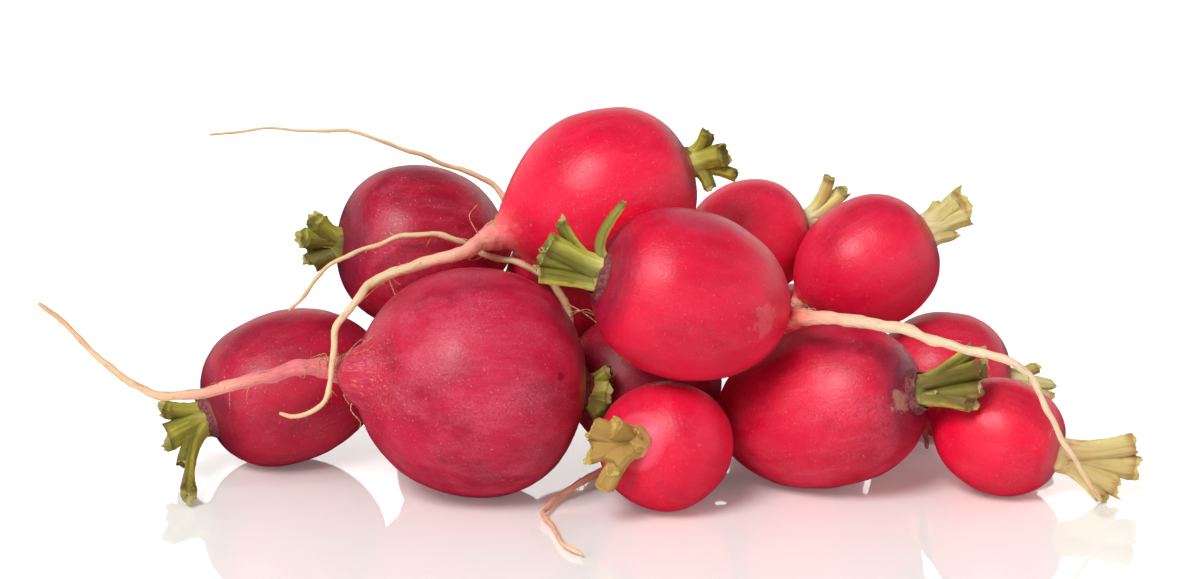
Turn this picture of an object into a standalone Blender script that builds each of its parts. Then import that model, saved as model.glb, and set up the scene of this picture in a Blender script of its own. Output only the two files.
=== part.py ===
"""A bunch of small round radishes piled loosely on a flat surface.

Every radish is two grown pieces: the root, which is the red bulb and its long thin tail in one,
and the crown, the short cut leaf stalks that stand on the flat top of the bulb. Nothing moves.

Lengths are written in millimetres and turned into metres by MM. +X runs to the right along the
pile, +Y runs away from the front, +Z is up, and the pile stands on z = 0.
"""

import math
from typing import NamedTuple

import bmesh
import bpy
from mathutils import Matrix, Vector

MM = 0.001

# The pile is laid out round the big front radish; this is the middle of its box there, seen from above
PILE_MIDDLE = (-1.6, 14.2)

# Where two pieces touch, this much air is left between them
GAP = 0.3
# How far the skin of a bulb that carries weight on the surface is pressed flat
PRESSED = 0.25

BULB_SIDES = 20
BULB_RINGS = 11
# The second ring of a bulb is this share of the way round from its crown to its tail
FIRST_RING = 0.05
# The neck is where a bulb flares out of its tail: its rings, how fast the flare dies away along the
# tail, how far it reaches back into the bulb, and how roundly the two meet
NECK_RINGS = 4
NECK_LONG = 2.4
NECK_REACH = 8
NECK_ROUNDNESS = 3
TAIL_SIDES = 5
TAIL_STEP = 5.5
# A tail tapers fast at first, then slowly to a thread of this radius
TAIL_TAPER = 1.6
THREAD = 0.4

STALK_SIDES = 6
STALK_RINGS = 4
# A stalk starts this far over the flat of the bulb and rises this far along its axis, at most,
# before it leans toward its tip
STALK_START = 0.8
STALK_RISE = 4.0
# A short stalk leans after this share of its length
EARLY_LEAN = 0.45
# The feet are gathered in this share of the flat, and a foot is this much of a stalk's thickness
FOOT_SPREAD = 0.55
FOOT_WIDTH = 0.9
# The pad that the stalks of a crown grow from, its two radii as shares of the flat's
PAD_SIDES = 10
PAD_HIGH = 2.0
PAD_FOOT = 0.85
PAD_TOP = 0.55

# A bulb is a little lumpy: the share of its radius by which two and three broad lobes swell it
TWO_LOBES = 0.018
THREE_LOBES = 0.012
# Each bulb's lobes are turned by this much against the last one's
LOBE_TURN = 2.4
# Folds sharper than this many degrees are drawn as edges
SHARP_FOLD = 50
SKIN_ROUGHNESS = 0.35
STALK_ROUGHNESS = 0.6

BRIGHT_RED = (0.60, 0.010, 0.045, 1.0)
DEEP_CRIMSON = (0.36, 0.008, 0.040, 1.0)
STALK_GREEN = (0.22, 0.30, 0.055, 1.0)
STALK_CREAM = (0.52, 0.50, 0.20, 1.0)


class Stalk(NamedTuple):
    """One cut leaf stalk: where its tip is from the middle of the crown, and how thick it is."""

    tip: tuple
    across: float


class Radish(NamedTuple):
    """One radish; directions and offsets are to the right, away and up."""

    name: str
    across: float
    long: float
    middle: tuple
    turn: float
    rise: float
    shoulder: float
    point: float
    crown_across: float
    tail_across: float
    tail: tuple
    stalks: tuple
    flare: float = 0.8
    skin: tuple = BRIGHT_RED
    green: tuple = STALK_GREEN


# A middle without a height belongs to a bulb that lies on the surface, and the height is worked out.
# turn is the compass direction of the crown seen from above, rise is its slope, both in degrees.
# shoulder is the bluntness of the crown half and point is the sharpness of the tail half.
# flare is how much wider than its tail a bulb still is where the tail starts, on each side.
RADISHES = (
    Radish(
        "big_front", 40.8, 39.5, (-22.9, 0.0), 14, -8, 2.2, 0.45, 10, 3.5,
        tail=(
            (-24.0, -2.0, 2.8), (-28.0, -3.0, 3.6), (-32.0, -4.5, 3.2), (-40.0, -7.0, 2.0),
            (-47.0, -8.0, 0.2), (-53.5, -8.0, 0.0), (-57.5, -7.5, 1.4), (-63.0, -6.0, 4.6),
            (-67.5, -5.0, 9.0), (-71.5, -4.0, 12.8), (-75.0, -3.0, 15.2),
        ),
        stalks=(
            Stalk((5.4, -2.0, 3.9), 2.6), Stalk((5.6, -2.0, -0.2), 4.8), Stalk((4.0, -3.0, -4.4), 4.0),
            Stalk((5.5, -0.5, 2.0), 3.0),
        ),
        skin=DEEP_CRIMSON,
        flare=4.2,
    ),
    Radish(
        "top", 30.0, 37.0, (-1.6, 18.5, 48.3), 12, 18, 2.4, 0.92, 9, 2.8,
        tail=(
            (-19.8, -6.8, -6.0), (-21.8, -9.8, -6.6), (-26.5, -12.0, -7.4), (-32.0, -13.5, -8.8),
            (-38.5, -16.5, -10.3), (-40.5, -19.5, -12.3), (-43.0, -22.0, -14.8), (-44.5, -23.5, -16.8),
            (-45.0, -24.5, -20.3), (-45.5, -25.0, -25.8), (-46.5, -25.0, -29.3), (-49.0, -24.5, -31.8),
            (-52.0, -24.0, -32.8), (-54.5, -23.5, -32.3),
        ),
        stalks=(
            Stalk((2.9, -1.5, 6.0), 2.4), Stalk((6.2, -3.0, 2.2), 4.0), Stalk((8.4, -1.5, -2.0), 2.8),
            Stalk((3.9, -3.0, -4.2), 3.0), Stalk((3.5, 3.5, 4.0), 3.2), Stalk((6.5, 3.0, 0.0), 3.4),
        ),
        flare=1.4,
    ),
    Radish(
        "centre", 30.0, 34.5, (16.4, -5.4, 37.5), 193, 17, 2.4, 0.52, 9.5, 2.8,
        tail=(
            (21.0, -3.5, -2.6), (27.0, -5.5, -2.6), (35.5, -7.5, -3.5), (41.5, -8.5, -5.3),
            (48.5, -9.5, -7.0), (53.5, -10.5, -8.2), (57.0, -10.5, -10.5), (59.5, -11.0, -14.0),
            (61.0, -11.0, -17.0), (63.5, -11.5, -22.5), (67.0, -11.5, -28.0), (70.5, -11.5, -33.5),
        ),
        stalks=(
            Stalk((-9.4, -2.0, 6.2), 5.0), Stalk((-10.8, -2.6, 1.2), 3.8), Stalk((-6.9, 0.5, 9.5), 2.6),
            Stalk((4.4, 2.0, 12.6), 2.8), Stalk((-9.9, 1.0, -0.6), 4.0),
        ),
        flare=1.3,
    ),
    Radish(
        "left_back", 29.5, 30.5, (-31.9, 30.3, 36.0), 195, 6, 2.4, 0.50, 10, 1.4,
        tail=(
            (15.8, 3.6, 2.2), (15.0, 7.0, 5.6), (12.0, 9.6, 9.2), (4.0, 10.0, 12.6),
            (-3.8, 8.5, 16.0), (-9.1, 7.5, 18.4), (-15.4, 6.5, 20.2), (-21.7, 5.5, 20.4),
            (-27.0, 4.5, 21.1), (-32.4, 3.5, 20.8), (-38.6, 2.5, 20.4),
        ),
        stalks=(
            Stalk((-4.6, -1.5, 5.0), 4.2), Stalk((-6.6, -1.5, 1.4), 4.6), Stalk((-5.6, -1.0, -3.2), 4.4),
            Stalk((-4.0, 2.5, 3.5), 4.0), Stalk((-5.5, 2.5, -1.5), 4.2),
        ),
        skin=DEEP_CRIMSON,
    ),
    Radish(
        "far_left", 27.0, 33.0, (-54.8, 17.0), 200, -14, 2.4, 0.50, 9.5, 1.8,
        tail=((17.5, 5.0, 1.5), (19.5, 9.0, -3.0), (19.5, 15.0, -8.0), (16.5, 22.0, -11.8)),
        stalks=(
            Stalk((-7.5, -3.0, 2.0), 3.8), Stalk((-7.4, -5.0, -2.6), 4.8), Stalk((-3.9, -7.0, -7.2), 4.2),
            Stalk((-2.0, -21.0, -7.6), 2.2), Stalk((-6.5, 1.0, 0.0), 3.8),
        ),
        skin=DEEP_CRIMSON,
    ),
    Radish(
        "front_small", 23.2, 22.5, (12.0, -8.0), 239, 20, 2.3, 0.50, 9, 1.8,
        tail=((6.2, 10.4, -4.2), (7.0, 11.8, -4.6)),
        stalks=(
            Stalk((-7.9, -2.0, 3.4), 3.6), Stalk((-8.3, -2.0, -1.2), 4.0), Stalk((-5.7, -3.0, -7.6), 3.4),
            Stalk((-4.0, -3.5, 3.8), 3.6), Stalk((-4.5, -4.5, -3.0), 3.8),
        ),
        green=STALK_CREAM,
    ),
    Radish(
        "right_mid", 28.6, 38.5, (38.4, 3.1), -24, 17, 2.4, 0.55, 9, 2.4,
        tail=(
            (-21.2, 3.0, -8.4), (-25.0, 1.5, -10.6), (-32.0, -0.5, -11.0), (-38.0, -2.5, -10.8),
            (-42.0, -6.5, -11.6), (-45.2, -9.8, -12.4), (-46.8, -13.2, -12.8), (-47.8, -17.0, -12.9),
            (-48.0, -20.0, -13.0), (-46.2, -26.0, -13.1), (-44.8, -33.0, -13.3), (-41.4, -38.0, -13.4),
        ),
        stalks=(
            Stalk((10.2, -2.0, 8.8), 3.2), Stalk((11.4, -4.0, 5.4), 4.0), Stalk((11.0, -4.6, 2.4), 3.6),
            Stalk((9.4, -5.0, -0.6), 3.4), Stalk((8.6, 0.5, 3.6), 3.4),
        ),
    ),
    Radish(
        "right_small", 21.0, 23.0, (70.0, 0.0), -20, -12, 2.3, 0.52, 9, 1.8,
        tail=((-11.8, 6.2, 0.8), (-11.8, 10.0, -2.5), (-11.0, 15.0, -7.5)),
        stalks=(
            Stalk((13.2, -1.0, 2.3), 4.8), Stalk((13.2, -1.0, -1.9), 4.6), Stalk((10.2, -2.0, -4.8), 4.2),
            Stalk((7.6, -3.5, -6.8), 2.8), Stalk((8.0, 1.5, 0.5), 4.2),
        ),
        green=STALK_CREAM,
    ),
    Radish(
        "right_top", 23.8, 26.5, (47.7, 30.4, 32.4), 14, 27, 2.4, 0.55, 9, 1.8,
        tail=((-13.0, -4.5, -8.5), (-14.0, -6.5, -12.0)),
        stalks=(
            Stalk((5.9, -1.0, 6.0), 3.8), Stalk((7.8, -1.5, 3.4), 4.0), Stalk((5.2, -2.0, -0.6), 2.6),
            Stalk((2.5, 1.0, 4.7), 3.2),
        ),
        green=STALK_CREAM,
    ),
    Radish(
        "back", 21.5, 23.0, (26.6, 41.9, 33.9), 22, 10, 2.4, 0.55, 8, 1.6,
        tail=((-12.6, -5.5, -4.0), (-14.5, -6.5, -8.0)),
        stalks=(
            Stalk((4.8, -1.0, 9.2), 2.4), Stalk((7.5, 0.0, 6.3), 3.0), Stalk((6.7, 1.0, 2.2), 2.8),
        ),
    ),
    Radish(
        "back_right", 23.5, 25.0, (62.0, 31.0), 5, -8, 2.4, 0.55, 9, 1.8,
        tail=((-13.6, -2.5, 1.0), (-16.0, -5.0, -3.0)),
        stalks=(
            Stalk((8.5, -1.0, -0.2), 2.6), Stalk((8.2, -2.5, -2.5), 2.6), Stalk((5.5, 2.0, 2.0), 2.8),
        ),
        green=STALK_CREAM,
    ),
    Radish(
        "middle", 26.0, 28.0, (7.1, 17.7), 10, -30, 2.4, 0.55, 9, 1.6,
        tail=(
            (-12.6, -2.0, 11.0), (-13.5, -2.4, 16.5), (-17.0, -3.0, 21.2), (-21.5, -2.8, 23.4),
            (-24.8, -1.8, 24.0), (-27.8, -1.2, 24.8), (-30.6, -1.5, 26.4), (-33.5, -3.0, 28.1),
            (-36.5, -3.5, 29.1), (-40.5, -4.5, 29.3), (-44.0, -5.0, 28.8), (-47.5, -6.0, 27.4),
            (-53.5, -8.0, 25.6), (-57.0, -9.0, 23.0), (-59.5, -11.0, 19.6), (-62.0, -12.0, 17.6),
        ),
        stalks=(
            Stalk((5.0, 0.5, -2.2), 3.4), Stalk((5.5, 3.5, 0.0), 3.4), Stalk((5.5, -1.0, 1.5), 3.4),
        ),
        flare=0.6,
    ),
    Radish(
        "under_left", 23.0, 24.0, (-26.0, 39.5), 100, -6, 2.4, 0.52, 9, 1.8,
        tail=((1.8, -13.2, 0.5), (2.0, -15.5, -3.0)),
        stalks=(
            Stalk((-4.0, 5.5, 2.5), 3.8), Stalk((-0.5, 7.0, 0.0), 4.0), Stalk((2.5, 6.0, -2.0), 3.8),
        ),
        skin=DEEP_CRIMSON,
    ),
    Radish(
        "under_right", 25.0, 27.0, (36.5, 41.9), 75, -6, 2.4, 0.52, 9, 1.8,
        tail=((-4.0, -14.6, 1.0), (-5.0, -17.0, -3.0)),
        stalks=(
            Stalk((4.5, 6.0, 2.5), 3.8), Stalk((1.0, 7.5, 0.0), 4.0), Stalk((-2.5, 6.0, -2.0), 3.8),
        ),
    ),
    Radish(
        "under_top", 25.0, 27.0, (-5.6, 36.0, 26.5), 80, 10, 2.4, 0.52, 9, 1.8,
        tail=((-2.8, -15.0, -3.6), (-3.4, -17.0, -7.0)),
        stalks=(
            Stalk((3.5, 6.0, 4.5), 3.8), Stalk((1.0, 7.5, 1.0), 4.0), Stalk((-3.0, 6.0, 3.0), 3.8),
        ),
    ),
)


def axis_of(radish):
    """The unit vector from the middle of a bulb to its crown."""
    turn = math.radians(radish.turn)
    rise = math.radians(radish.rise)
    return Vector((math.cos(rise) * math.cos(turn), math.cos(rise) * math.sin(turn), math.sin(rise)))


def frame_about(direction):
    """Axes with z along a direction and y as near to straight up as it allows."""
    z = direction.normalized()
    x = Vector((0, 0, 1)).cross(z).normalized()
    y = z.cross(x)
    return Matrix((x, y, z)).transposed()


def bulb_radius(radish, share):
    """Radius of the bulb at a share of its length, from 0 at the crown to 1 at the tail."""
    widest = 0.46
    if share < widest:
        across = (widest - share) / widest
        flat = radish.crown_across / radish.across
        # The crown half is cut off where it has narrowed to the flat that the stalks stand on
        reach = (1 - flat ** radish.shoulder) ** (1 / radish.shoulder)
        return radish.across / 2 * (1 - (across * reach) ** radish.shoulder) ** (1 / radish.shoulder)
    across = min(1.0, (share - widest) / (1 - widest))
    return radish.across / 2 * (1 - across ** 2) ** radish.point


def neck_radius(radish, share):
    """Radius of the bulb with the neck that it runs out into, at a share of the bulb's length."""
    neck = (radish.tail_across / 2 + radish.flare) * share ** NECK_REACH
    total = bulb_radius(radish, share) ** NECK_ROUNDNESS + neck ** NECK_ROUNDNESS
    return total ** (1 / NECK_ROUNDNESS)


def curve_through(points, step):
    """Points a step apart along a smooth curve through the given ones."""
    padded = [points[0] * 2 - points[1], *points, points[-1] * 2 - points[-2]]
    smooth = [points[0]]
    for before, start, end, after in zip(padded, padded[1:], padded[2:], padded[3:]):
        pieces = max(1, round((end - start).length / step))
        for index in range(1, pieces + 1):
            t = index / pieces
            smooth.append(0.5 * (
                2 * start
                + (end - before) * t
                + (2 * before - 5 * start + 4 * end - after) * t ** 2
                + (3 * start - before - 3 * end + after) * t ** 3
            ))
    return smooth


def tail_line(radish):
    """The middle line of a tail, from the end of the bulb, in millimetres from the bulb's middle."""
    axis = axis_of(radish)
    root = -axis * radish.long * 0.5
    given = [root, *(Vector(point) for point in radish.tail)]
    return curve_through(given, TAIL_STEP)


def tail_radius(radish, share):
    """Radius of the tail at a share of its length."""
    return THREAD + (radish.tail_across / 2 - THREAD) * (1 - share) ** TAIL_TAPER


def ring(centre, axes, radius, sides, lobes=0.0):
    """The corners of one ring round a centre, in the plane of the first two axes."""
    corners = []
    for index in range(sides):
        angle = math.tau * index / sides
        swell = 1 + TWO_LOBES * math.cos(2 * angle + lobes) + THREE_LOBES * math.cos(3 * angle - 2 * lobes)
        reach = radius * (swell if lobes else 1.0)
        corners.append(centre + axes @ Vector((math.cos(angle) * reach, math.sin(angle) * reach, 0)))
    return corners


def bridge(mesh, first, second):
    """Faces between two rings; the second may have half as many corners as the first."""
    count = len(first)
    if len(second) == count:
        for index in range(count):
            after = (index + 1) % count
            mesh.faces.new((first[index], first[after], second[after], second[index]))
        return
    for index in range(len(second)):
        after = (index + 1) % len(second)
        left, middle, right = first[2 * index], first[2 * index + 1], first[(2 * index + 2) % count]
        mesh.faces.new((left, middle, second[index]))
        mesh.faces.new((middle, second[after], second[index]))
        mesh.faces.new((middle, right, second[after]))


def carried(axes, direction):
    """The axes turned by the least angle that brings their z onto a direction."""
    return axes.col[2].rotation_difference(direction).to_matrix() @ axes


def bulb_and_tail(radish, lobes):
    """The closed skin of a bulb that runs out into its tail, in millimetres from the bulb's middle."""
    axis = axis_of(radish)
    axes = frame_about(-axis)
    line = tail_line(radish)
    # One more ring where the neck narrows most
    line.insert(1, line[0] + (line[1] - line[0]).normalized() * NECK_LONG)
    length = sum((end - start).length for start, end in zip(line, line[1:]))
    mesh = bmesh.new()
    rings = []
    for index in range(BULB_RINGS):
        # Rings crowd toward both ends, where the bulb curves most
        round_share = FIRST_RING + (1 - FIRST_RING) * index / BULB_RINGS
        share = (1 - math.cos(math.pi * round_share)) / 2 if index else 0.0
        centre = axis * radish.long * (0.5 - share)
        rings.append(ring(centre, axes, neck_radius(radish, share), BULB_SIDES, lobes))
    run = 0.0
    for index, centre in enumerate(line):
        if index:
            run += (centre - line[index - 1]).length
        onward = line[min(index + 1, len(line) - 1)] - line[max(index - 1, 0)]
        axes = carried(axes, onward.normalized())
        flare = radish.flare * math.exp(-run / NECK_LONG)
        sides = BULB_SIDES // 2 if index < NECK_RINGS else TAIL_SIDES
        radius = tail_radius(radish, min(1.0, run / length)) + flare
        rings.append(ring(centre, axes, radius, sides))
    verts = [[mesh.verts.new(corner) for corner in corners] for corners in rings]
    for first, second in zip(verts, verts[1:]):
        bridge(mesh, first, second)
    mesh.faces.new(verts[0])
    mesh.faces.new(verts[-1])
    bmesh.ops.recalc_face_normals(mesh, faces=mesh.faces)
    return mesh


def stalk(radish, axes, crown, this):
    """One closed stalk that leaves the crown along the bulb's axis and bends to its tip."""
    up = axes.col[2]
    tip = Vector(this.tip)
    sideways = tip - up * tip.dot(up)
    foot_reach = (radish.crown_across - this.across) / 2 * FOOT_SPREAD
    foot = sideways.normalized() * min(foot_reach, sideways.length)
    bend = foot + up * min(tip.length * EARLY_LEAN, STALK_RISE)
    mesh = bmesh.new()
    rings = []
    tilt = axes
    for index in range(STALK_RINGS):
        t = index / (STALK_RINGS - 1)
        centre = foot * (1 - t) ** 2 + bend * 2 * t * (1 - t) + tip * t ** 2
        onward = (bend - foot) * (1 - t) + (tip - bend) * t
        tilt = carried(tilt, onward.normalized())
        radius = this.across / 2 * (FOOT_WIDTH + (1 - FOOT_WIDTH) * t)
        corners = ring(crown + centre, tilt, radius, STALK_SIDES)
        rings.append([mesh.verts.new(corner) for corner in corners])
    for first, second in zip(rings, rings[1:]):
        bridge(mesh, first, second)
    mesh.faces.new(rings[0])
    mesh.faces.new(rings[-1])
    bmesh.ops.recalc_face_normals(mesh, faces=mesh.faces)
    return mesh


def pad(radish, axes, crown):
    """The low round pad of green that all the stalks of a crown grow from."""
    mesh = bmesh.new()
    low = ring(crown + axes.col[2] * GAP, axes, radish.crown_across / 2 * PAD_FOOT, PAD_SIDES)
    high = ring(crown + axes.col[2] * PAD_HIGH, axes, radish.crown_across / 2 * PAD_TOP, PAD_SIDES)
    low = [mesh.verts.new(corner) for corner in low]
    high = [mesh.verts.new(corner) for corner in high]
    bridge(mesh, low, high)
    mesh.faces.new(low)
    mesh.faces.new(high)
    bmesh.ops.recalc_face_normals(mesh, faces=mesh.faces)
    return mesh


def finish_of(name, colour, roughness):
    """A plain material of one colour."""
    material = bpy.data.materials.new(name)
    material.use_nodes = True
    surface = material.node_tree.nodes["Principled BSDF"]
    surface.inputs["Base Color"].default_value = colour
    surface.inputs["Roughness"].default_value = roughness
    surface.inputs["Metallic"].default_value = 0.0
    return material


def make_object(name, mesh, material, where, pile):
    """An object of the mesh, its corners turned from millimetres to metres, placed in the pile."""
    bmesh.ops.scale(mesh, vec=(MM, MM, MM), verts=mesh.verts)
    data = bpy.data.meshes.new(name)
    mesh.to_mesh(data)
    mesh.free()
    data.materials.append(material)
    data.shade_smooth()
    data.set_sharp_from_angle(angle=math.radians(SHARP_FOLD))
    piece = bpy.data.objects.new(name, data)
    bpy.context.scene.collection.objects.link(piece)
    piece.location = Vector(where) * MM
    piece.parent = pile
    return piece


def press_flat(mesh, level):
    """Cut a skin off level at a height and close it, which leaves the small flat that it lies on."""
    cut = bmesh.ops.bisect_plane(
        mesh, geom=[*mesh.verts, *mesh.edges, *mesh.faces], plane_co=(0, 0, level),
        plane_no=(0, 0, -1), clear_outer=True,
    )
    edges = [item for item in cut["geom_cut"] if isinstance(item, bmesh.types.BMEdge)]
    if edges:
        bmesh.ops.holes_fill(mesh, edges=edges)
    bmesh.ops.recalc_face_normals(mesh, faces=mesh.faces)


def joined(name, parts, material, where, pile):
    """One object out of several overlapping closed meshes, joined by a Boolean union."""
    pieces = [make_object(f"{name}_{index}", part, material, where, pile) for index, part in enumerate(parts)]
    whole = pieces[0]
    whole.name = name
    others = bpy.data.collections.new(name)
    for piece in pieces[1:]:
        others.objects.link(piece)
    union = whole.modifiers.new("union", "BOOLEAN")
    union.operation = "UNION"
    union.operand_type = "COLLECTION"
    union.collection = others
    union.solver = "EXACT"
    graph = bpy.context.evaluated_depsgraph_get()
    data = bpy.data.meshes.new_from_object(whole.evaluated_get(graph))
    whole.modifiers.clear()
    whole.data = data
    for piece in pieces[1:]:
        bpy.data.objects.remove(piece)
    bpy.data.collections.remove(others)
    return whole


def make_radish(radish, index, pile):
    """The root and the crown of one radish."""
    lobes = 1.0 + index * LOBE_TURN
    root = bulb_and_tail(radish, lobes)
    if len(radish.middle) == 2:
        lowest = min(corner.co.z for corner in root.verts)
        where = (*radish.middle, -lowest - PRESSED)
        press_flat(root, -where[2])
    else:
        where = radish.middle
    axes = frame_about(axis_of(radish))
    crown = axis_of(radish) * radish.long * 0.5
    skin = finish_of(f"{radish.name}_skin", radish.skin, SKIN_ROUGHNESS)
    green = finish_of(f"{radish.name}_green", radish.green, STALK_ROUGHNESS)
    make_object(f"{radish.name}_root", root, skin, where, pile)
    parts = [pad(radish, axes, crown)]
    parts += [stalk(radish, axes, crown + axes.col[2] * STALK_START, this) for this in radish.stalks]
    joined(f"{radish.name}_crown", parts, green, where, pile)


def main():
    """Clear the scene and build the pile."""
    for item in list(bpy.data.objects):
        bpy.data.objects.remove(item)
    pile = bpy.data.objects.new("pile", None)
    bpy.context.scene.collection.objects.link(pile)
    pile.location = (-PILE_MIDDLE[0] * MM, -PILE_MIDDLE[1] * MM, 0)
    for index, radish in enumerate(RADISHES):
        make_radish(radish, index, pile)


main()
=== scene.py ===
"""A bunch of small round radishes lying loosely on a pale, slightly glossy table.

Each radish is a root, which is the red bulb and the tail that it runs out into, and a crown of
short cut leaf stalks, with fine rootlets and a dry collar where the real one has them. A piece is
modelled straight and upright first, which gives its finish the lengthwise and crosswise
directions, and is then bent along the line that it follows in the pile. Sizes are in millimetres
until that last step.
"""

import logging
import math
import random
from dataclasses import dataclass, field
from enum import Enum

import bpy
from mathutils import Matrix, Vector, noise


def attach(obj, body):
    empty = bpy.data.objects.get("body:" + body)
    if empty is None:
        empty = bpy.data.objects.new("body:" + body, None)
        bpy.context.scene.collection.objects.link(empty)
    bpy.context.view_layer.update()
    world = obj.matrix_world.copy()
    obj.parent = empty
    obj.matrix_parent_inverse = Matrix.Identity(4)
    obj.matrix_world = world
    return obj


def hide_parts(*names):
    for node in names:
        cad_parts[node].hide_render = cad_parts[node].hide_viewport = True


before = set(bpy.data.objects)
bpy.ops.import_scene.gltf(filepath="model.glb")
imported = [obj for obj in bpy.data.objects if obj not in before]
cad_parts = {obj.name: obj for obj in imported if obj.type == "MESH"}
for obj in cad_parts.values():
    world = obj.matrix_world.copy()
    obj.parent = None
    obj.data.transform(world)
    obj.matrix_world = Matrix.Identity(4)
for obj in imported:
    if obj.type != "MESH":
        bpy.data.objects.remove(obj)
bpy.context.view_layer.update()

MM = 0.001
BODY = "root"
LOG = logging.getLogger("radishes")

# The middle of the pile's box, measured from the point on the table under the big radish's own origin
PILE_MIDDLE = Vector((-1.6, 14.2, 0.0))
# How far a bulb that lies on the table is pressed flat, as in the solids
PRESSED = 0.25
# A rounded cage shrinks under subdivision: a ring of this many corners comes back to size by its share
CAGE_SIDES = 20
CAGE_SHARE = (2 + math.cos(math.tau / CAGE_SIDES)) / 3
# How fast the flare of a bulb's neck dies away along the tail
NECK_LONG = 2.4
# Where along its length, from the crown, a bulb is widest
WIDEST = 0.46
# Rings of a bulb's cage, and points of its middle line
BULB_RINGS = 17
BULB_POINTS = 40
# Rings of a tail's cage are about this far apart, and crowd toward the bulb by this power
TAIL_RING_STEP = 2.8
TAIL_CROWDING = 1.35
# Corners round a stalk, a heart and a collar, and the steps of a stalk's path
STALK_SIDES = 24
HEART_SIDES = 20
COLLAR_SIDES = 28
PATH_STEPS = 24
# How deep a stalk's inner side is drawn in, and how many young shoots stand in each crown
CHANNEL = 0.3
SHOOTS = 2
SHOOT_FLAT = 0.6
# A heart is coloured as the foot of a stalk this long
HEART_RUN = 9.0
# Thickness of a papery collar, and radius of a short root hair
COLLAR_WALL = 0.14
HAIR_RADIUS = 0.06

# Settings of the nodes: a smooth step between two values, a mix of colours, and sums
SMOOTH = {"interpolation_type": "SMOOTHSTEP"}
COLOURS = {"data_type": "RGBA"}
COLOUR_OUT = 2
MINUS = {"operation": "SUBTRACT"}
TIMES = {"operation": "MULTIPLY"}
TIMES_PLUS = {"operation": "MULTIPLY_ADD"}
LARGER = {"operation": "MAXIMUM"}
# Every noise lies about as often above this as below it
HALF = 0.5
# Colours that all skins share: pale pores, tan scratches, brown scabs and pale bark
PORE = "#ee8f9c"
SCRATCH = "#d99a74"
SCAB = "#8a5532"
BARK = "#fbe9cf"


def hex_colour(code: str) -> tuple[float, float, float, float]:
    """Turn an sRGB hex colour into the linear colour that a shader takes.

    Args:
        code: six hex digits after a hash.

    Returns:
        Red, green, blue and alpha, linear.
    """
    parts = (int(code[start:start + 2], 16) / 255 for start in (1, 3, 5))
    red, green, blue = (c / 12.92 if c <= 0.04045 else ((c + 0.055) / 1.055) ** 2.4 for c in parts)
    return red, green, blue, 1.0


def add(
    tree: bpy.types.NodeTree, kind: str, settings: dict | None = None, links: dict | None = None,
    output: int | str = 0,
) -> bpy.types.NodeSocket:
    """Add a node with its settings and its links.

    Args:
        tree: the material's nodes.
        kind: the node's type, without the words that every type starts with.
        settings: the node's properties, by name.
        links: a value or another node's output for each input, by name or number.
        output: the output that is wanted, by name or number.

    Returns:
        That output.
    """
    made = tree.nodes.new(f"ShaderNode{kind}")
    for name, value in (settings or {}).items():
        setattr(made, name, value)
    for key, value in (links or {}).items():
        if isinstance(value, bpy.types.NodeSocket):
            tree.links.new(value, made.inputs[key])
        else:
            made.inputs[key].default_value = value
    return made.outputs[output]


def blank_material(name: str) -> tuple[bpy.types.Material, bpy.types.NodeTree, bpy.types.Node]:
    """Make a material that holds only its surface shader.

    Args:
        name: the material's name.

    Returns:
        The material, its nodes and the shader.
    """
    material = bpy.data.materials.new(name)
    material.use_nodes = True
    tree = material.node_tree
    return material, tree, tree.nodes["Principled BSDF"]


def select_only(*pieces: bpy.types.Object) -> None:
    """Select just these pieces and make the first one active.

    Args:
        pieces: the pieces, or none.
    """
    bpy.ops.object.select_all(action="DESELECT")
    for piece in pieces:
        piece.select_set(True)
    if pieces:
        bpy.context.view_layer.objects.active = pieces[0]


def drawn_up(
    name: str, rings: list[tuple[float, float]], sides: int, filled: bool = True
) -> bpy.types.Object:
    """Draw a round upright form out of a circle, ring by ring.

    Args:
        name: the piece's name.
        rings: the height and radius of each ring, from the first up.
        sides: corners of a ring.
        filled: whether the ends are closed.

    Returns:
        The piece, with its axis on Z.
    """
    select_only()
    height, radius = rings[0]
    fill = "NGON" if filled else "NOTHING"
    bpy.ops.mesh.primitive_circle_add(
        vertices=sides, radius=radius, fill_type=fill, location=(0, 0, height)
    )
    piece = bpy.context.active_object
    piece.name = name
    bpy.ops.object.mode_set(mode="EDIT")
    bpy.ops.mesh.select_all(action="SELECT")
    for next_height, next_radius in rings[1:]:
        bpy.ops.mesh.extrude_region_move(TRANSFORM_OT_translate={"value": (0, 0, next_height - height)})
        ratio = next_radius / radius
        bpy.ops.transform.resize(value=(ratio, ratio, 1), center_override=(0, 0, next_height))
        height, radius = next_height, next_radius
    bpy.ops.mesh.select_all(action="SELECT")
    bpy.ops.mesh.normals_make_consistent(inside=False)
    bpy.ops.object.mode_set(mode="OBJECT")
    bpy.ops.object.transform_apply(location=True, rotation=True, scale=True)
    return piece


def rounded(piece: bpy.types.Object, levels: int) -> None:
    """Smooth a cage by subdivision, and keep the result.

    Args:
        piece: the cage.
        levels: how often each face is divided.
    """
    select_only(piece)
    smooth = piece.modifiers.new("rounded", "SUBSURF")
    smooth.levels = levels
    smooth.render_levels = levels
    bpy.ops.object.modifier_apply(modifier=smooth.name)
    bpy.ops.object.shade_smooth()


def joined(name: str, parts: list[bpy.types.Object]) -> bpy.types.Object:
    """Join finished parts into one piece.

    Args:
        name: the piece's name.
        parts: the parts, which end up in the first.

    Returns:
        The piece.
    """
    select_only(*parts)
    if len(parts) > 1:
        bpy.ops.object.join()
    parts[0].name = name
    parts[0].data.name = name
    return parts[0]


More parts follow.
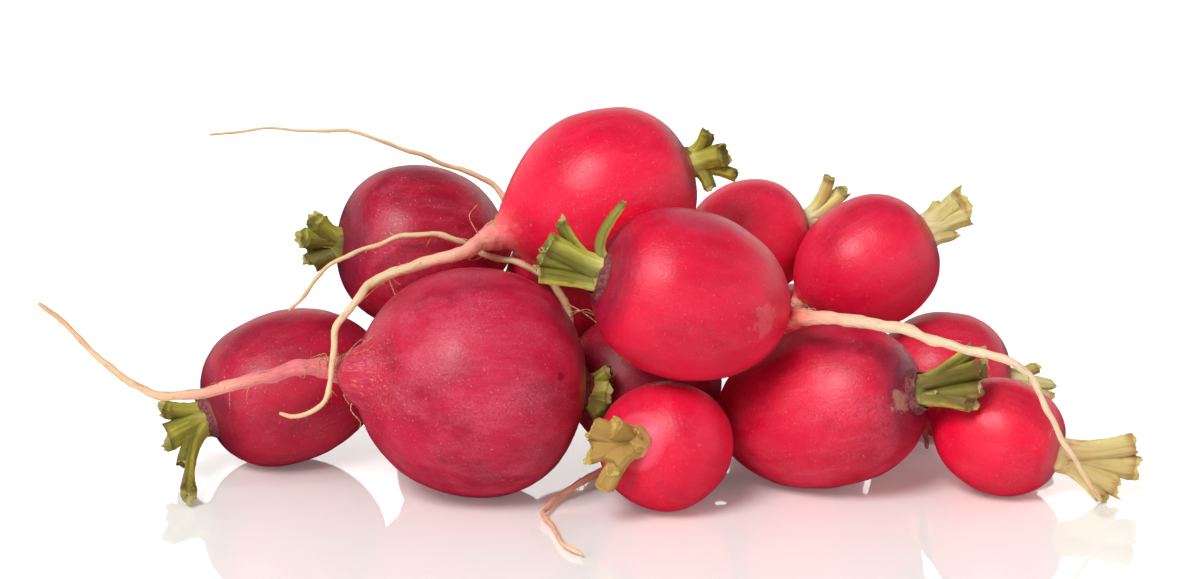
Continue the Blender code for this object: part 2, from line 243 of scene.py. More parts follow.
def smooth_points(points: list[Vector], step: float) -> list[Vector]:
    """Points along a smooth curve through the given ones.

    Args:
        points: the points that the curve passes.
        step: about how far apart the new ones are.

    Returns:
        The closer points, ends included.
    """
    padded = [points[0] * 2 - points[1], *points, points[-1] * 2 - points[-2]]
    close = [points[0]]
    for before, start, end, after in zip(padded, padded[1:], padded[2:], padded[3:]):
        pieces = max(1, round((end - start).length / step))
        for index in range(1, pieces + 1):
            t = index / pieces
            close.append(0.5 * (
                2 * start + (end - before) * t
                + (2 * before - 5 * start + 4 * end - after) * t ** 2
                + (3 * start - before - 3 * end + after) * t ** 3
            ))
    return close


def frame_about(direction: Vector) -> Matrix:
    """Find axes with z along a direction and y as near to straight up as it allows.

    Args:
        direction: the direction, not straight up.

    Returns:
        The axes, as the columns of a matrix.
    """
    z = direction.normalized()
    x = Vector((0, 0, 1)).cross(z).normalized()
    return Matrix((x, z.cross(x), z)).transposed()


class Line:
    """A line in space with axes carried along it, on which a straight piece is bent."""

    def __init__(self, points: list[Vector], first_axes: Matrix) -> None:
        """Carry the axes from the first point to the last.

        Args:
            points: close points, in millimetres.
            first_axes: the axes at the first point, z along the line.
        """
        self.points = points
        self.axes = [first_axes]
        self.runs = [0.0]
        for index in range(1, len(points)):
            before, here = points[index - 1], points[index]
            onward = points[min(index + 1, len(points) - 1)] - before
            last = self.axes[-1]
            self.axes.append(last.col[2].rotation_difference(onward.normalized()).to_matrix() @ last)
            self.runs.append(self.runs[-1] + (here - before).length)

    @property
    def length(self) -> float:
        """How long the line is."""
        return self.runs[-1]

    def at(self, run: float) -> tuple[Vector, Matrix]:
        """Find the point and axes a distance along the line, on past its ends if need be.

        Args:
            run: the distance from the first point.

        Returns:
            The point and the axes there.
        """
        low, high = 0, len(self.runs) - 1
        while high - low > 1:
            middle = (low + high) // 2
            if self.runs[middle] <= run:
                low = middle
            else:
                high = middle
        share = (run - self.runs[low]) / max(1e-9, self.runs[high] - self.runs[low])
        kept = min(max(share, 0.0), 1.0)
        axes = self.axes[low] * (1 - kept) + self.axes[high] * kept
        return self.points[low].lerp(self.points[high], share), axes

    def bend(self, piece: bpy.types.Object, origin: Vector) -> None:
        """Bend a straight upright piece along the line, and turn it into metres.

        Args:
            piece: the piece, whose height is the run along the line.
            origin: where the line's own origin is in the pile, in millimetres.
        """
        for corner in piece.data.vertices:
            x, y, run = corner.co
            point, axes = self.at(run)
            corner.co = (origin + point + axes @ Vector((x, y, 0))) * MM
        piece.data.update()


def keep_directions(
    piece: bpy.types.Object, full_run: float, bulb_run: float = 0.0, shade: float = 0.5
) -> None:
    """Store each corner's straight place, which its finish follows however the piece is bent.

    Args:
        piece: the straight piece.
        full_run: its whole length.
        bulb_run: the length of the bulb at its start, or none.
        shade: how pale this part is among its neighbours, from 0 to 1.
    """
    attributes = piece.data.attributes
    attributes.new("straight", "FLOAT_VECTOR", "POINT")
    attributes.new("run", "FLOAT", "POINT")
    attributes.new("shade", "FLOAT", "POINT")
    # All are looked up again, because making a later one moves the first
    straight, share = attributes["straight"].data, attributes["run"].data
    for tone in attributes["shade"].data:
        tone.value = shade
    for corner, place, run in zip(piece.data.vertices, straight, share):
        height = corner.co.z
        place.vector = corner.co
        if height < bulb_run or not bulb_run:
            run.value = height / (bulb_run or full_run)
        else:
            run.value = 1 + (height - bulb_run) / (full_run - bulb_run)


def above_table(piece: bpy.types.Object) -> None:
    """Lay whatever would sink into the table down on it.

    Args:
        piece: the piece, in its place.
    """
    for corner in piece.data.vertices:
        corner.co.z = max(corner.co.z, 0.0)
    piece.data.update()


@dataclass(frozen=True)
class Mark:
    """A scuff, scab, bruise or painted sheen on the skin, at its place on the straight root, in millimetres.
    """

    place: tuple[float, float, float]
    across: float
    colour: str
    strength: float
    ragged: float


@dataclass(frozen=True)
class RadishSkin:
    """Fresh radish skin, grown and rinsed: taut and waxy, so satin, with a dull bloom, streaks along
    it, pale specks, and colour that drains out along the tail."""

    name: str
    main: str
    deep: str
    flush: str
    tail_first: str
    tail_middle: str
    tail_last: str
    crown_tint: str = "#6e1030"
    bloom: float = 0.3
    streaks: float = 0.2
    specks: float = 0.5
    roughness: float = 0.34
    drains_from: float = 0.97
    drained_at: float = 1.06
    tail_turns: float = 1.45
    scabs: float = 0.3
    scratches: float = 0.15
    tint_reach: float = 0.12
    marks: tuple[Mark, ...] = ()

    def material(self) -> bpy.types.Material:
        """Build the skin's material, whose patterns are sized in millimetres on the straight root.

        Returns:
            The material.
        """
        material, tree, shader = blank_material(self.name)
        straight = add(tree, "Attribute", {"attribute_name": "straight"}, output="Vector")
        run = add(tree, "Attribute", {"attribute_name": "run"}, output="Fac")
        # Each pattern's scale across and along the root, the size of its grain, its detail and roughness
        patterns = (
            # Soft patches about 9 mm across, where the red deepens
            ((1, 1, 0.7), 9.0, 3.0, 0.55),
            # Streaks that run from crown to tail, about a millimetre apart
            ((1, 1, 0.06), 0.9, 5.0, 0.62),
            # Growth rings across the skin, close together toward the crown and the tail
            ((0.1, 0.1, 1.6), 1.0, 4.0, 0.6),
            # The skin's own grain is under 0.3 mm; it is drawn at nearly half a millimetre so that it shows
            ((1, 1, 1), 0.45, 3.0, 0.7),
            # Veils of bloom, some 6 mm wide and longer than they are wide
            ((1, 1, 0.45), 6.0, 5.0, 0.65),
            # Breathing pores: flecks wider than they are tall, a quarter of a millimetre drawn at a half
            ((1, 1, 1.4), 0.5, 1.5, 0.4),
            # Fine scratches of old root hairs, which run lengthwise into the tail
            ((1, 1, 0.05), 0.35, 3.0, 0.6),
            # Fibres and scabs of the tail's bark, a few millimetres long
            ((1, 1, 0.16), 0.6, 4.0, 0.7),
            # The torn outline of each mark goes with the mark's own size
            *(((1, 1, 1), mark.across * 0.35, 5.0, 0.7) for mark in self.marks),
        )
        patches, streaks, rings, grain, veils, pores, hairs, bark, *torn = [
            add(tree, "TexNoise", links={
                0: add(tree, "Mapping", links={"Vector": straight, "Scale": scale}),
                "Scale": 1 / size, "Detail": detail, "Roughness": rough,
            })
            for scale, size, detail, rough in patterns
        ]
        # Where the tail starts the colour drains out in uneven tongues, which follow the streaks
        uneven = add(tree, "Math", MINUS, {0: streaks, 1: HALF})
        drained = add(tree, "Math", TIMES_PLUS, {0: uneven, 1: 0.12, 2: run})
        # What each feature follows, the two values that it comes in between, and its share at each
        spans = {
            "deep": (patches, 0.38, 0.74, 0, 1),
            "streaked": (streaks, 0.52, 0.78, 0, self.streaks),
            "veiled": (veils, 0.36, 0.74, 0, self.bloom),
            "dusted": (grain, 0.36, 0.62, 0.2, 0.85),
            "specked": (pores, 0.68, 0.77, 0, self.specks),
            "tinted": (run, self.tint_reach, 0, 0, 0.85),
            "ringed": (rings, 0.35, 0.65, 0.7, 1),
            "mark_grain": (grain, 0.3, 0.6, 0.6, 1),
            "scratched": (hairs, 0.58, 0.68, 0, self.scratches),
            "narrowing": (run, 0.84, 0.99, 0, 1),
            "turned": (drained, self.tail_turns - 0.2, self.tail_turns + 0.2, 0, 1),
            "last": (drained, 1.75, 2, 0, 1),
            "scabbed": (bark, 0.54, 0.68, 0, self.scabs),
            "peeled": (bark, 0.44, 0.3, 0, 0.35),
            "tail": (drained, self.drains_from, self.drained_at, 0, 1),
            "on_tail": (run, 0.97, 1.08, 0, 1),
            "crown_end": (run, 0.16, 0.02, 0, 1),
            "tail_end": (run, 0.84, 1.02, 0, 1),
        }
        share = {name: add(tree, "MapRange", SMOOTH, dict(enumerate(span))) for name, span in spans.items()}
        # The bloom is a dust of pale grains and not a film, and the crown's tint is faintly cross-ringed
        for name, first, second in (
            ("dusty", "veiled", "dusted"), ("collared", "tinted", "ringed"),
            ("hairy", "scratched", "narrowing"),
        ):
            share[name] = add(tree, "Math", TIMES, {0: share[first], 1: share[second]})
        marked = []
        for mark, outline in zip(self.marks, torn):
            between = {0: straight, 1: mark.place}
            apart = add(tree, "VectorMath", {"operation": "DISTANCE"}, between, "Value")
            ragged = add(tree, "Math", MINUS, {0: outline, 1: HALF})
            ragged = add(tree, "Math", TIMES_PLUS, {0: ragged, 1: mark.across * mark.ragged * 2, 2: apart})
            within = {0: ragged, 1: mark.across * 0.55, 2: mark.across * 0.3, 3: 0, 4: mark.strength}
            within = add(tree, "MapRange", SMOOTH, within)
            marked.append((add(tree, "Math", TIMES, {0: within, 1: share["mark_grain"]}), mark.colour))

        colour, tail = hex_colour(self.main), hex_colour(self.tail_first)
        for shown, over in (
            (share["deep"], self.deep), (share["streaked"], self.flush), (share["dusty"], self.flush),
            (share["specked"], PORE), (share["collared"], self.crown_tint), *marked,
            (share["hairy"], SCRATCH),
        ):
            colour = add(tree, "Mix", COLOURS, {0: shown, 6: colour, 7: hex_colour(over)}, COLOUR_OUT)
        for shown, over in (
            (share["turned"], self.tail_middle), (share["last"], self.tail_last),
            (share["scabbed"], SCAB), (share["peeled"], BARK),
        ):
            tail = add(tree, "Mix", COLOURS, {0: shown, 6: tail, 7: hex_colour(over)}, COLOUR_OUT)
        colour = add(tree, "Mix", COLOURS, {0: share["tail"], 6: colour, 7: tail}, COLOUR_OUT)
        tree.links.new(colour, shader.inputs["Base Color"])

        # The grain takes off on average what its half adds
        rough = self.roughness - 0.4 * HALF
        for part, weight in ((share["veiled"], 0.3), (grain, 0.4), (share["on_tail"], 0.22)):
            rough = add(tree, "Math", TIMES_PLUS, {0: part, 1: weight, 2: rough})
        tree.links.new(rough, shader.inputs["Roughness"])

        ends = add(tree, "Math", LARGER, {0: share["crown_end"], 1: share["tail_end"]})
        end_rings = add(tree, "Math", TIMES, {0: rings, 1: ends})
        tail_bark = add(tree, "Math", TIMES, {0: bark, 1: share["on_tail"]})
        height = 0.0
        for part, weight in (
            (grain, 0.8), (streaks, 0.7), (patches, 1.2), (end_rings, 1.6), (tail_bark, 1.6),
        ):
            height = add(tree, "Math", TIMES_PLUS, {0: part, 1: weight, 2: height})
        # The relief is about a tenth of a millimetre deep
        bump = add(tree, "Bump", links={"Strength": 0.75, "Distance": 0.11 * MM, "Height": height})
        tree.links.new(bump, shader.inputs["Normal"])
        for name, value in {
            "IOR": 1.45, "Specular IOR Level": 0.5, "Subsurface Weight": 0.08,
            "Subsurface Radius": (1.0, 0.2, 0.15), "Subsurface Scale": 1.5 * MM,
        }.items():
            shader.inputs[name].default_value = value
        return material


@dataclass(frozen=True)
class StalkFlesh:
    """Cut leaf stalks: juicy ribbed green stem, half matt, pale foot, dry cut, painted shade down the sides.
    """

    name: str
    main: str
    foot: str
    rib: str
    dry: str = "#6b5226"
    cut: str = "#c9c47c"
    dryness: float = 0.5
    # Painted shade down the sides and in the channel of each stalk, where the stalks crowd together
    edge: str = "#4a3e14"
    # How strong the ribs and the painted shade down the sides are
    ribbing: float = 1.0

    def material(self) -> bpy.types.Material:
        """Build the stalks' material, whose ribs run along the straight stalk.

        Returns:
            The material.
        """
        material, tree, shader = blank_material(self.name)
        straight = add(tree, "Attribute", {"attribute_name": "straight"}, output="Vector")
        run = add(tree, "Attribute", {"attribute_name": "run"}, output="Fac")
        shade = add(tree, "Attribute", {"attribute_name": "shade"}, output="Fac")
        # Each pattern's scale across and along the stalk, the size of its grain and its detail
        patterns = (
            # Ribs are strings of fibre about three quarters of a millimetre apart round the stalk
            ((1, 1, 0.06), 0.75, 3.0),
            # Blotches where it dries, about 2 mm across
            ((1, 1, 0.4), 2.2, 5.0),
            # Fine grain of the flesh
            ((1, 1, 1), 0.35, 4.0),
        )
        ribs, blotches, grain = [
            add(tree, "TexNoise", links={
                0: add(tree, "Mapping", links={"Vector": straight, "Scale": scale}),
                "Scale": 1 / size, "Detail": detail, "Roughness": 0.6,
            })
            for scale, size, detail in patterns
        ]
        above_ribs, above_blotches, above_grain = [
            add(tree, "Math", MINUS, {0: pattern, 1: HALF}) for pattern in (ribs, blotches, grain)
        ]
        # Painted shade where stalks crowd: dark along a stalk's sides and its channel, palest on the back
        # turned outward
        across = add(tree, "VectorMath", TIMES, {0: straight, 1: (1, 1, 0)})
        outward = add(tree, "VectorMath", {"operation": "NORMALIZE"}, {0: across})
        facing = add(tree, "VectorMath", {"operation": "DOT_PRODUCT"}, {0: outward, 1: (0, -1, 0)}, "Value")
        facing = add(tree, "Math", TIMES_PLUS, {0: above_ribs, 1: 1.0, 2: facing})
        # The last millimetre dries brown round a pale cut
        drying = add(tree, "Math", TIMES_PLUS, {0: above_blotches, 1: 0.3, 2: run})
        ragged = add(tree, "Math", TIMES_PLUS, {0: above_grain, 1: 0.1, 2: run})
        colour = hex_colour(self.rib)
        # What each colour follows, the two values that it comes in between, and its share at each
        for span, over in (
            ((shade, -0.7, 0.8, 0, 1), self.main),
            ((ribs, 0.5, 0.62, 0, 0.65 * self.ribbing), self.rib),
            ((ribs, 0.46, 0.3, 0, 0.5), self.foot),
            ((run, 0.5, 0, 0, 1), self.foot),
            # Painted shade along the sides and in the channel, where neighbouring stalks crowd
            ((facing, 0.7, -0.1, 0, 0.7 * self.ribbing), self.edge),
            ((blotches, 0.5, 0.68, 0, self.dryness), self.dry),
            ((drying, 0.84, 0.98, 0, 0.7), self.dry),
            ((ragged, 0.975, 0.995, 0, 0.6), self.cut),
        ):
            shown = add(tree, "MapRange", SMOOTH, dict(enumerate(span)))
            colour = add(tree, "Mix", COLOURS, {0: shown, 6: colour, 7: hex_colour(over)}, COLOUR_OUT)
        tree.links.new(colour, shader.inputs["Base Color"])
        rough = add(tree, "Math", TIMES_PLUS, {0: grain, 1: 0.25, 2: 0.36})
        tree.links.new(rough, shader.inputs["Roughness"])
        height = 0.0
        for part, weight in ((ribs, 1.4), (grain, 0.5), (blotches, 1.5)):
            height = add(tree, "Math", TIMES_PLUS, {0: part, 1: weight, 2: height})
        # Ribs stand about a sixth of a millimetre proud
        bump = add(tree, "Bump", links={"Strength": 0.9, "Distance": 0.16 * MM, "Height": height})
        tree.links.new(bump, shader.inputs["Normal"])
        for name, value in {
            "IOR": 1.42, "Specular IOR Level": 0.4, "Subsurface Weight": 0.12,
            "Subsurface Radius": (1.0, 0.9, 0.4), "Subsurface Scale": 1.0 * MM,
        }.items():
            shader.inputs[name].default_value = value
        return material


@dataclass(frozen=True)
class DrySkin:
    """Dried scale leaf or thread of root: thin, brown and papery, quite matt."""

    name: str
    main: str
    dark: str

    def material(self) -> bpy.types.Material:
        """Build the material, mottled at half a millimetre.

        Returns:
            The material.
        """
        material, tree, shader = blank_material(self.name)
        place = add(tree, "TexCoord", output="Object")
        mottle = add(
            tree, "TexNoise", links={0: place, "Scale": 1 / (0.6 * MM), "Detail": 3.0, "Roughness": 0.6}
        )
        share = add(tree, "MapRange", links={0: mottle, 1: 0.38, 2: 0.6})
        colours = {0: share, 6: hex_colour(self.main), 7: hex_colour(self.dark)}
        tree.links.new(add(tree, "Mix", COLOURS, colours, COLOUR_OUT), shader.inputs["Base Color"])
        bump = add(tree, "Bump", links={"Strength": 0.6, "Distance": 0.1 * MM, "Height": mottle})
        tree.links.new(bump, shader.inputs["Normal"])
        rough = add(tree, "MapRange", links={0: mottle, 1: 0.0, 2: 1.0, 3: 0.6, 4: 0.85})
        tree.links.new(rough, shader.inputs["Roughness"])
        return material


@dataclass(frozen=True)
class WhiteSheet:
    """Plain white sheet of the studio, which glows a little and so keeps the shadows thin."""

    name: str
    roughness: float
    ior: float
    glow: float

    def material(self) -> bpy.types.Material:
        """Build the material, the same all over.

        Returns:
            The material.
        """
        material, _, shader = blank_material(self.name)
        for name, value in {
            "Base Color": hex_colour("#f5f4f2"), "Roughness": self.roughness, "IOR": self.ior,
            "Emission Color": (1.0, 1.0, 1.0, 1.0), "Emission Strength": self.glow,
        }.items():
            shader.inputs[name].default_value = value
        return material


class Cut(Enum):
    """How a leaf stalk ends."""

    SLICED = "sliced"
    TORN = "torn"
    POINTED = "pointed"


@dataclass
class Stalk:
    """One cut leaf stalk.

    Its tip is measured to the right, away and up from the middle of the crown.
    """

    tip: tuple[float, float, float]
    across: float
    end: Cut = Cut.SLICED
    flat: float = 0.88
    flared: float = 1.0

    def cage(self, name: str, length: float, chance: random.Random) -> bpy.types.Object:
        """Model the stalk straight: swollen at the foot, channelled inside, and cut or torn off.

        Args:
            name: the part's name.
            length: how long it is.
            chance: the source of its irregularity.

        Returns:
            The straight stalk, its channel on the +Y side.
        """
        # The cage starts a tenth wider than the stalk, because rounding shrinks it
        half = self.across / 2 * 1.1
        shares = (
            (-0.12, 1.2), (0.06, 1.1), (0.25, 0.98), (0.5, 0.96), (0.78, 1.0),
            (0.94, self.flared), (1.0, self.flared),
        )
        rings = [(share * length, half * width) for share, width in shares]
        if self.end is Cut.POINTED:
            rings[-3] = (0.78 * length, half * 0.85)
            rings[-2] = (0.96 * length, half * 0.65)
            rings[-1] = (1.0 * length, half * 0.35)
        piece = drawn_up(name, rings, STALK_SIDES)
        select_only(piece)
        bpy.ops.object.mode_set(mode="EDIT")
        bpy.ops.mesh.select_all(action="DESELECT")
        bpy.ops.object.mode_set(mode="OBJECT")
        top = max(piece.data.polygons, key=lambda face: face.center.z)
        if self.end is not Cut.POINTED:
            top.select = True
            bpy.ops.object.mode_set(mode="EDIT")
            bpy.ops.mesh.select_mode(type="FACE")
            bpy.ops.mesh.inset(thickness=half * 0.2)
            bpy.ops.transform.translate(value=(0, 0, -min(0.15 * length, half * 0.35)))
            bpy.ops.transform.resize(value=(0.9, 0.9, 1), center_override=(0, 0, 0))
            bpy.ops.mesh.select_mode(type="VERT")
            bpy.ops.object.mode_set(mode="OBJECT")
        phase = chance.uniform(0, math.tau)
        tear = (0.3 if self.end is Cut.TORN else 0.14) * self.across
        seed = Vector((phase * 10, 0, 0))
        for corner in piece.data.vertices:
            angle = math.atan2(corner.co.y, corner.co.x)
            spread = math.hypot(corner.co.x, corner.co.y)
            # Every third corner stands out as a rib, and the inner side is drawn in as a channel
            rib = 1 + 0.035 * math.cos(8 * angle) + 0.1 * noise.noise(corner.co / 2.6 + seed)
            inward = max(0.0, math.sin(angle)) ** 2 * CHANNEL * spread
            slant = 0.0
            if corner.co.z > 0.94 * length:
                waves = math.sin(angle + phase) + 0.5 * math.sin(3 * angle + 2 * phase)
                slant = tear * (waves + 0.25 * chance.uniform(-1, 1))
            corner.co.x *= rib
            corner.co.y = (corner.co.y * rib - inward) * self.flat
            corner.co.z += slant
        rounded(piece, 2)
        for corner in piece.data.vertices:
            held = max(0.0, corner.co.z / length - 0.86) / 0.14
            corner.co.z += held * noise.noise(corner.co / 0.7 + seed) * 0.45
            wrinkle = 1 + 0.06 * noise.noise(corner.co / 0.9 + seed)
            corner.co.x *= wrinkle
            corner.co.y *= wrinkle
        return piece


@dataclass(frozen=True)
class Thread:
    """One fine rootlet: the radish's own length where it leaves, its path from there, and its radius.

    The path is to the right, away and up from its start on the root's middle line.
    """

    run: float
    path: tuple[tuple[float, float, float], ...]
    radius: float


@dataclass(frozen=True)
class Creepers:
    """Curly root hairs that creep over the neck: how many, and between which angles about the root.

    Zero degrees faces sideways and ninety faces up.
    """

    count: int
    from_angle: float = -60.0
    to_angle: float = 130.0
    reach: float = 9.0

    def paths(
        self, radish: "Radish", line: Line, chance: random.Random
    ) -> list[tuple[list[Vector], float]]:
        """Lay each hair on the skin, wandering from the tail up over the end of the bulb.

        Args:
            radish: the radish that they creep on.
            line: its middle line.
            chance: the source of their wandering.

        Returns:
            The points and the radius of each.
        """
        tail_long = line.length - radish.long
        made = []
        for _ in range(self.count):
            run = chance.uniform(0.1, 1.0) * self.reach
            angle = math.radians(chance.uniform(self.from_angle, self.to_angle))
            onward = -1 if chance.random() < 0.7 else 1
            height, points = 0.0, []
            for _ in range(chance.randint(5, 9)):
                if run < 0:
                    skin = radish.neck_radius(max(0.0, 1 + run / radish.long))
                else:
                    skin = radish.flared_radius(run, tail_long)
                point, axes = line.at(radish.long + run)
                out = Vector((math.cos(angle), math.sin(angle), 0))
                points.append(point + axes @ out * (skin + height))
                run += onward * chance.uniform(0.2, 1.1)
                angle += chance.uniform(-2.2, 2.2) / max(1.5, skin)
                height = chance.uniform(0.1, 0.9)
            made.append((smooth_points(points, 0.4), chance.uniform(0.07, 0.12)))
        return made


@dataclass
class Radish:
    """One radish of the pile; directions and offsets are to the right, away and up.

    A middle without a height belongs to a bulb that lies on the table.
    """

    name: str
    across: float
    long: float
    middle: tuple[float, ...]
    turn: float
    rise: float
    shoulder: float
    point: float
    crown_across: float
    tail_across: float
    tail: tuple[tuple[float, float, float], ...]
    stalks: tuple[Stalk, ...]
    skin: RadishSkin
    flesh: StalkFlesh
    thread: float
    flare: float
    collar: float
    hairs: int
    rootlets: tuple[Thread, ...] = ()
    creepers: Creepers = Creepers(2)
    index: int = 0
    origin: Vector = field(default_factory=Vector)

    @property
    def axis(self) -> Vector:
        """The unit vector from the middle of the bulb to its crown."""
        turn, rise = math.radians(self.turn), math.radians(self.rise)
        return Vector((math.cos(rise) * math.cos(turn), math.cos(rise) * math.sin(turn), math.sin(rise)))

    def bulb_radius(self, share: float) -> float:
        """Find the radius of the bulb alone.

        Args:
            share: how far down its length, from 0 at the crown to 1.

        Returns:
            The radius there.
        """
        if share < WIDEST:
            reach = (1 - (self.crown_across / self.across) ** self.shoulder) ** (1 / self.shoulder)
            inward = (WIDEST - share) / WIDEST * reach
            return self.across / 2 * (1 - inward ** self.shoulder) ** (1 / self.shoulder)
        onward = min(1.0, (share - WIDEST) / (1 - WIDEST))
        return self.across / 2 * (1 - onward ** 2) ** self.point

    def tail_radius(self, share: float) -> float:
        """Radius of the tail at a share of its length, down to a thread."""
        return self.thread + (self.tail_across / 2 - self.thread) * (1 - share) ** 1.6

    def flared_radius(self, run: float, tail_long: float) -> float:
        """Radius of the tail with what the neck's flare still adds, at a run from the bulb."""
        flare = self.flare * math.exp(-run / NECK_LONG)
        return self.tail_radius(min(1.0, run / tail_long)) + flare

    def neck_radius(self, share: float) -> float:
        """Radius of the bulb with the neck that it runs out into, at a share of the bulb's length."""
        neck = (self.tail_across / 2 + self.flare) * share ** 8
        return (self.bulb_radius(share) ** 3 + neck ** 3) ** (1 / 3)

    def root_line(self) -> Line:
        """Draw the middle line of the root, from the crown through the bulb and along the tail.

        Returns:
            The line, measured from the middle of the bulb.
        """
        crown, end = self.axis * self.long * 0.5, -self.axis * self.long * 0.5
        through_bulb = [crown.lerp(end, index / BULB_POINTS) for index in range(BULB_POINTS)]
        along_tail = smooth_points([end, *(Vector(point) for point in self.tail)], 0.5)
        return Line(through_bulb + along_tail, frame_about(-self.axis))

    def root(self) -> bpy.types.Object:
        """Model the bulb and its tail in one skin, bent along its line and pressed on the table.

        Returns:
            The root, in its place.
        """
        line = self.root_line()
        tail_long = line.length - self.long
        # The skin goes on under the crown as a hidden cap, which closes it
        cap = ((-0.7, 0.14), (-0.6, 0.28), (-0.2, 0.4))
        rings = [(height, self.crown_across * share) for height, share in cap]
        for index in range(BULB_RINGS):
            share = 0.5 - 0.5 * math.cos(math.pi * (index / BULB_RINGS * 0.96 + 0.04)) if index else 0.008
            rings.append((share * self.long, self.neck_radius(share)))
        steps = max(4, round(tail_long / TAIL_RING_STEP))
        for index in range(steps + 1):
            run = tail_long * (index / steps) ** TAIL_CROWDING
            rings.append((self.long + run, self.flared_radius(run, tail_long)))
        rings.append((line.length + 0.15, self.thread * 0.4))
        cage = [(height, radius / CAGE_SHARE) for height, radius in rings]
        piece = drawn_up(f"{self.name}_skin", cage, CAGE_SIDES)
        rounded(piece, 2)
        self.roughen(piece, tail_long)
        keep_directions(piece, line.length, self.long)
        lobes = 1.0 + self.index * 2.4
        for corner in piece.data.vertices:
            share = corner.co.z / self.long
            angle = math.atan2(corner.co.y, corner.co.x)
            swell = 0.018 * math.cos(2 * angle + lobes) + 0.012 * math.cos(3 * angle - 2 * lobes)
            held = min(1.0, max(0.0, (1.04 - share) / 0.12))
            corner.co.x *= 1 + swell * held
            corner.co.y *= 1 + swell * held
        line.bend(piece, Vector((0, 0, 0)))
        self.settle(piece)
        return piece

    def roughen(self, piece: bpy.types.Object, tail_long: float) -> None:
        """Give the straight root the small lumps of its bulb and the unevenness of its tail.

        Args:
            piece: the straight root.
            tail_long: the length of its tail.
        """
        seed = Vector((self.index * 17.3, self.index * 5.1, 0))
        for corner in piece.data.vertices:
            run = corner.co.z - self.long
            if run < 0:
                lump = noise.noise(corner.co / 7.0 + seed) * 0.22
                lump += noise.noise(corner.co / 2.5 + seed) * 0.05
                radial = Vector((corner.co.x, corner.co.y, 0))
                if radial.length > 0.5:
                    corner.co += radial.normalized() * lump
                continue
            held = min(1.0, run / 4.0)
            uneven = noise.noise(Vector((run / 2.2, 0, 0)) + seed) * 0.22
            uneven += noise.noise(Vector((corner.co.x, corner.co.y, run / 1.5)) + seed) * 0.14
            corner.co.x *= 1 + uneven * held
            corner.co.y *= 1 + uneven * held
            fade = held * min(1.0, (tail_long - run) / 4.0 + 0.3)
            corner.co.x += noise.noise(Vector((run / 5.0, 3.0, 0)) + seed) * 0.45 * fade
            corner.co.y += noise.noise(Vector((run / 5.0, 0, 7.0)) + seed) * 0.45 * fade

    def settle(self, piece: bpy.types.Object) -> None:
        """Put the root at its place in the pile, and press a bulb that lies on the table flat there.

        Args:
            piece: the bent root, measured in metres from the middle of its bulb.
        """
        place = Vector((self.middle[0], self.middle[1], 0)) - PILE_MIDDLE
        if len(self.middle) == 3:
            place.z = self.middle[2]
        else:
            place.z = -min(corner.co.z for corner in piece.data.vertices) / MM - PRESSED
        self.origin = place
        for corner in piece.data.vertices:
            corner.co += place * MM
            corner.co.z = max(corner.co.z, 0.0)
        piece.data.update()

    def crown(self) -> bpy.types.Object:
        """Model the leaf stalks and the heart that they grow from, as one piece.

        Returns:
            The crown, in its place.
        """
        chance = random.Random(self.index * 31 + 7)
        axes = frame_about(self.axis)
        up = axes.col[2]
        foot_level = self.axis * self.long * 0.5
        parts = [self.heart(Line([foot_level - up, foot_level + up * 4], axes))]
        shoots = []
        for _ in range(SHOOTS):
            tip = up * chance.uniform(2.8, 4.6)
            tip = tip + axes @ Vector((chance.uniform(-2, 2), chance.uniform(-2, 2), 0))
            across, end = chance.uniform(1.0, 1.6), chance.choice((Cut.TORN, Cut.POINTED))
            shoots.append(Stalk(tuple(tip), across, end, SHOOT_FLAT))
        for number, stalk in enumerate((*self.stalks, *shoots)):
            tip = Vector(stalk.tip)
            sideways = tip - up * tip.dot(up)
            reach = (self.crown_across - stalk.across) / 2 * (0.8 if stalk.end is Cut.POINTED else 0.36)
            foot = sideways.normalized() * min(reach, sideways.length)
            bend = foot + up * min(tip.length * 0.3, 3.6) + tip * 0.15
            start = foot_level + up * 0.5
            path = [
                start + foot * (1 - t) ** 2 + bend * 2 * t * (1 - t) + tip * t ** 2
                for t in (index / PATH_STEPS for index in range(PATH_STEPS + 1))
            ]
            inner = -foot.normalized() if foot.length > 0.3 else axes.col[1]
            inner = (inner - up * inner.dot(up)).normalized()
            onward = (path[1] - path[0]).normalized()
            standing = Matrix((inner.cross(up), inner, up)).transposed()
            line = Line(path, up.rotation_difference(onward).to_matrix() @ standing)
            part = stalk.cage(f"{self.name}_stalk_{number}", line.length, chance)
            keep_directions(part, line.length, shade=chance.random())
            line.bend(part, self.origin)
            parts.append(part)
        crown = joined(f"{self.name}_stalks", parts)
        above_table(crown)
        return crown

    def heart(self, line: Line) -> bpy.types.Object:
        """Model the low ribbed heart of the crown, which closes over the top of the bulb.

        Args:
            line: the line that it stands on.

        Returns:
            The heart, in its place.
        """
        half = self.crown_across / 2
        shares = ((0.6, 0.6), (1.5, 0.66), (2.2, 0.6), (3.0, 0.46), (3.6, 0.24))
        rings = [(height, half * share) for height, share in shares]
        piece = drawn_up(f"{self.name}_heart", rings, HEART_SIDES)
        for corner in piece.data.vertices:
            angle = math.atan2(corner.co.y, corner.co.x)
            swell = 1 + 0.08 * math.cos(5 * angle + self.index)
            corner.co.x *= swell
            corner.co.y *= swell
        rounded(piece, 2)
        keep_directions(piece, HEART_RUN)
        line.bend(piece, self.origin)
        return piece

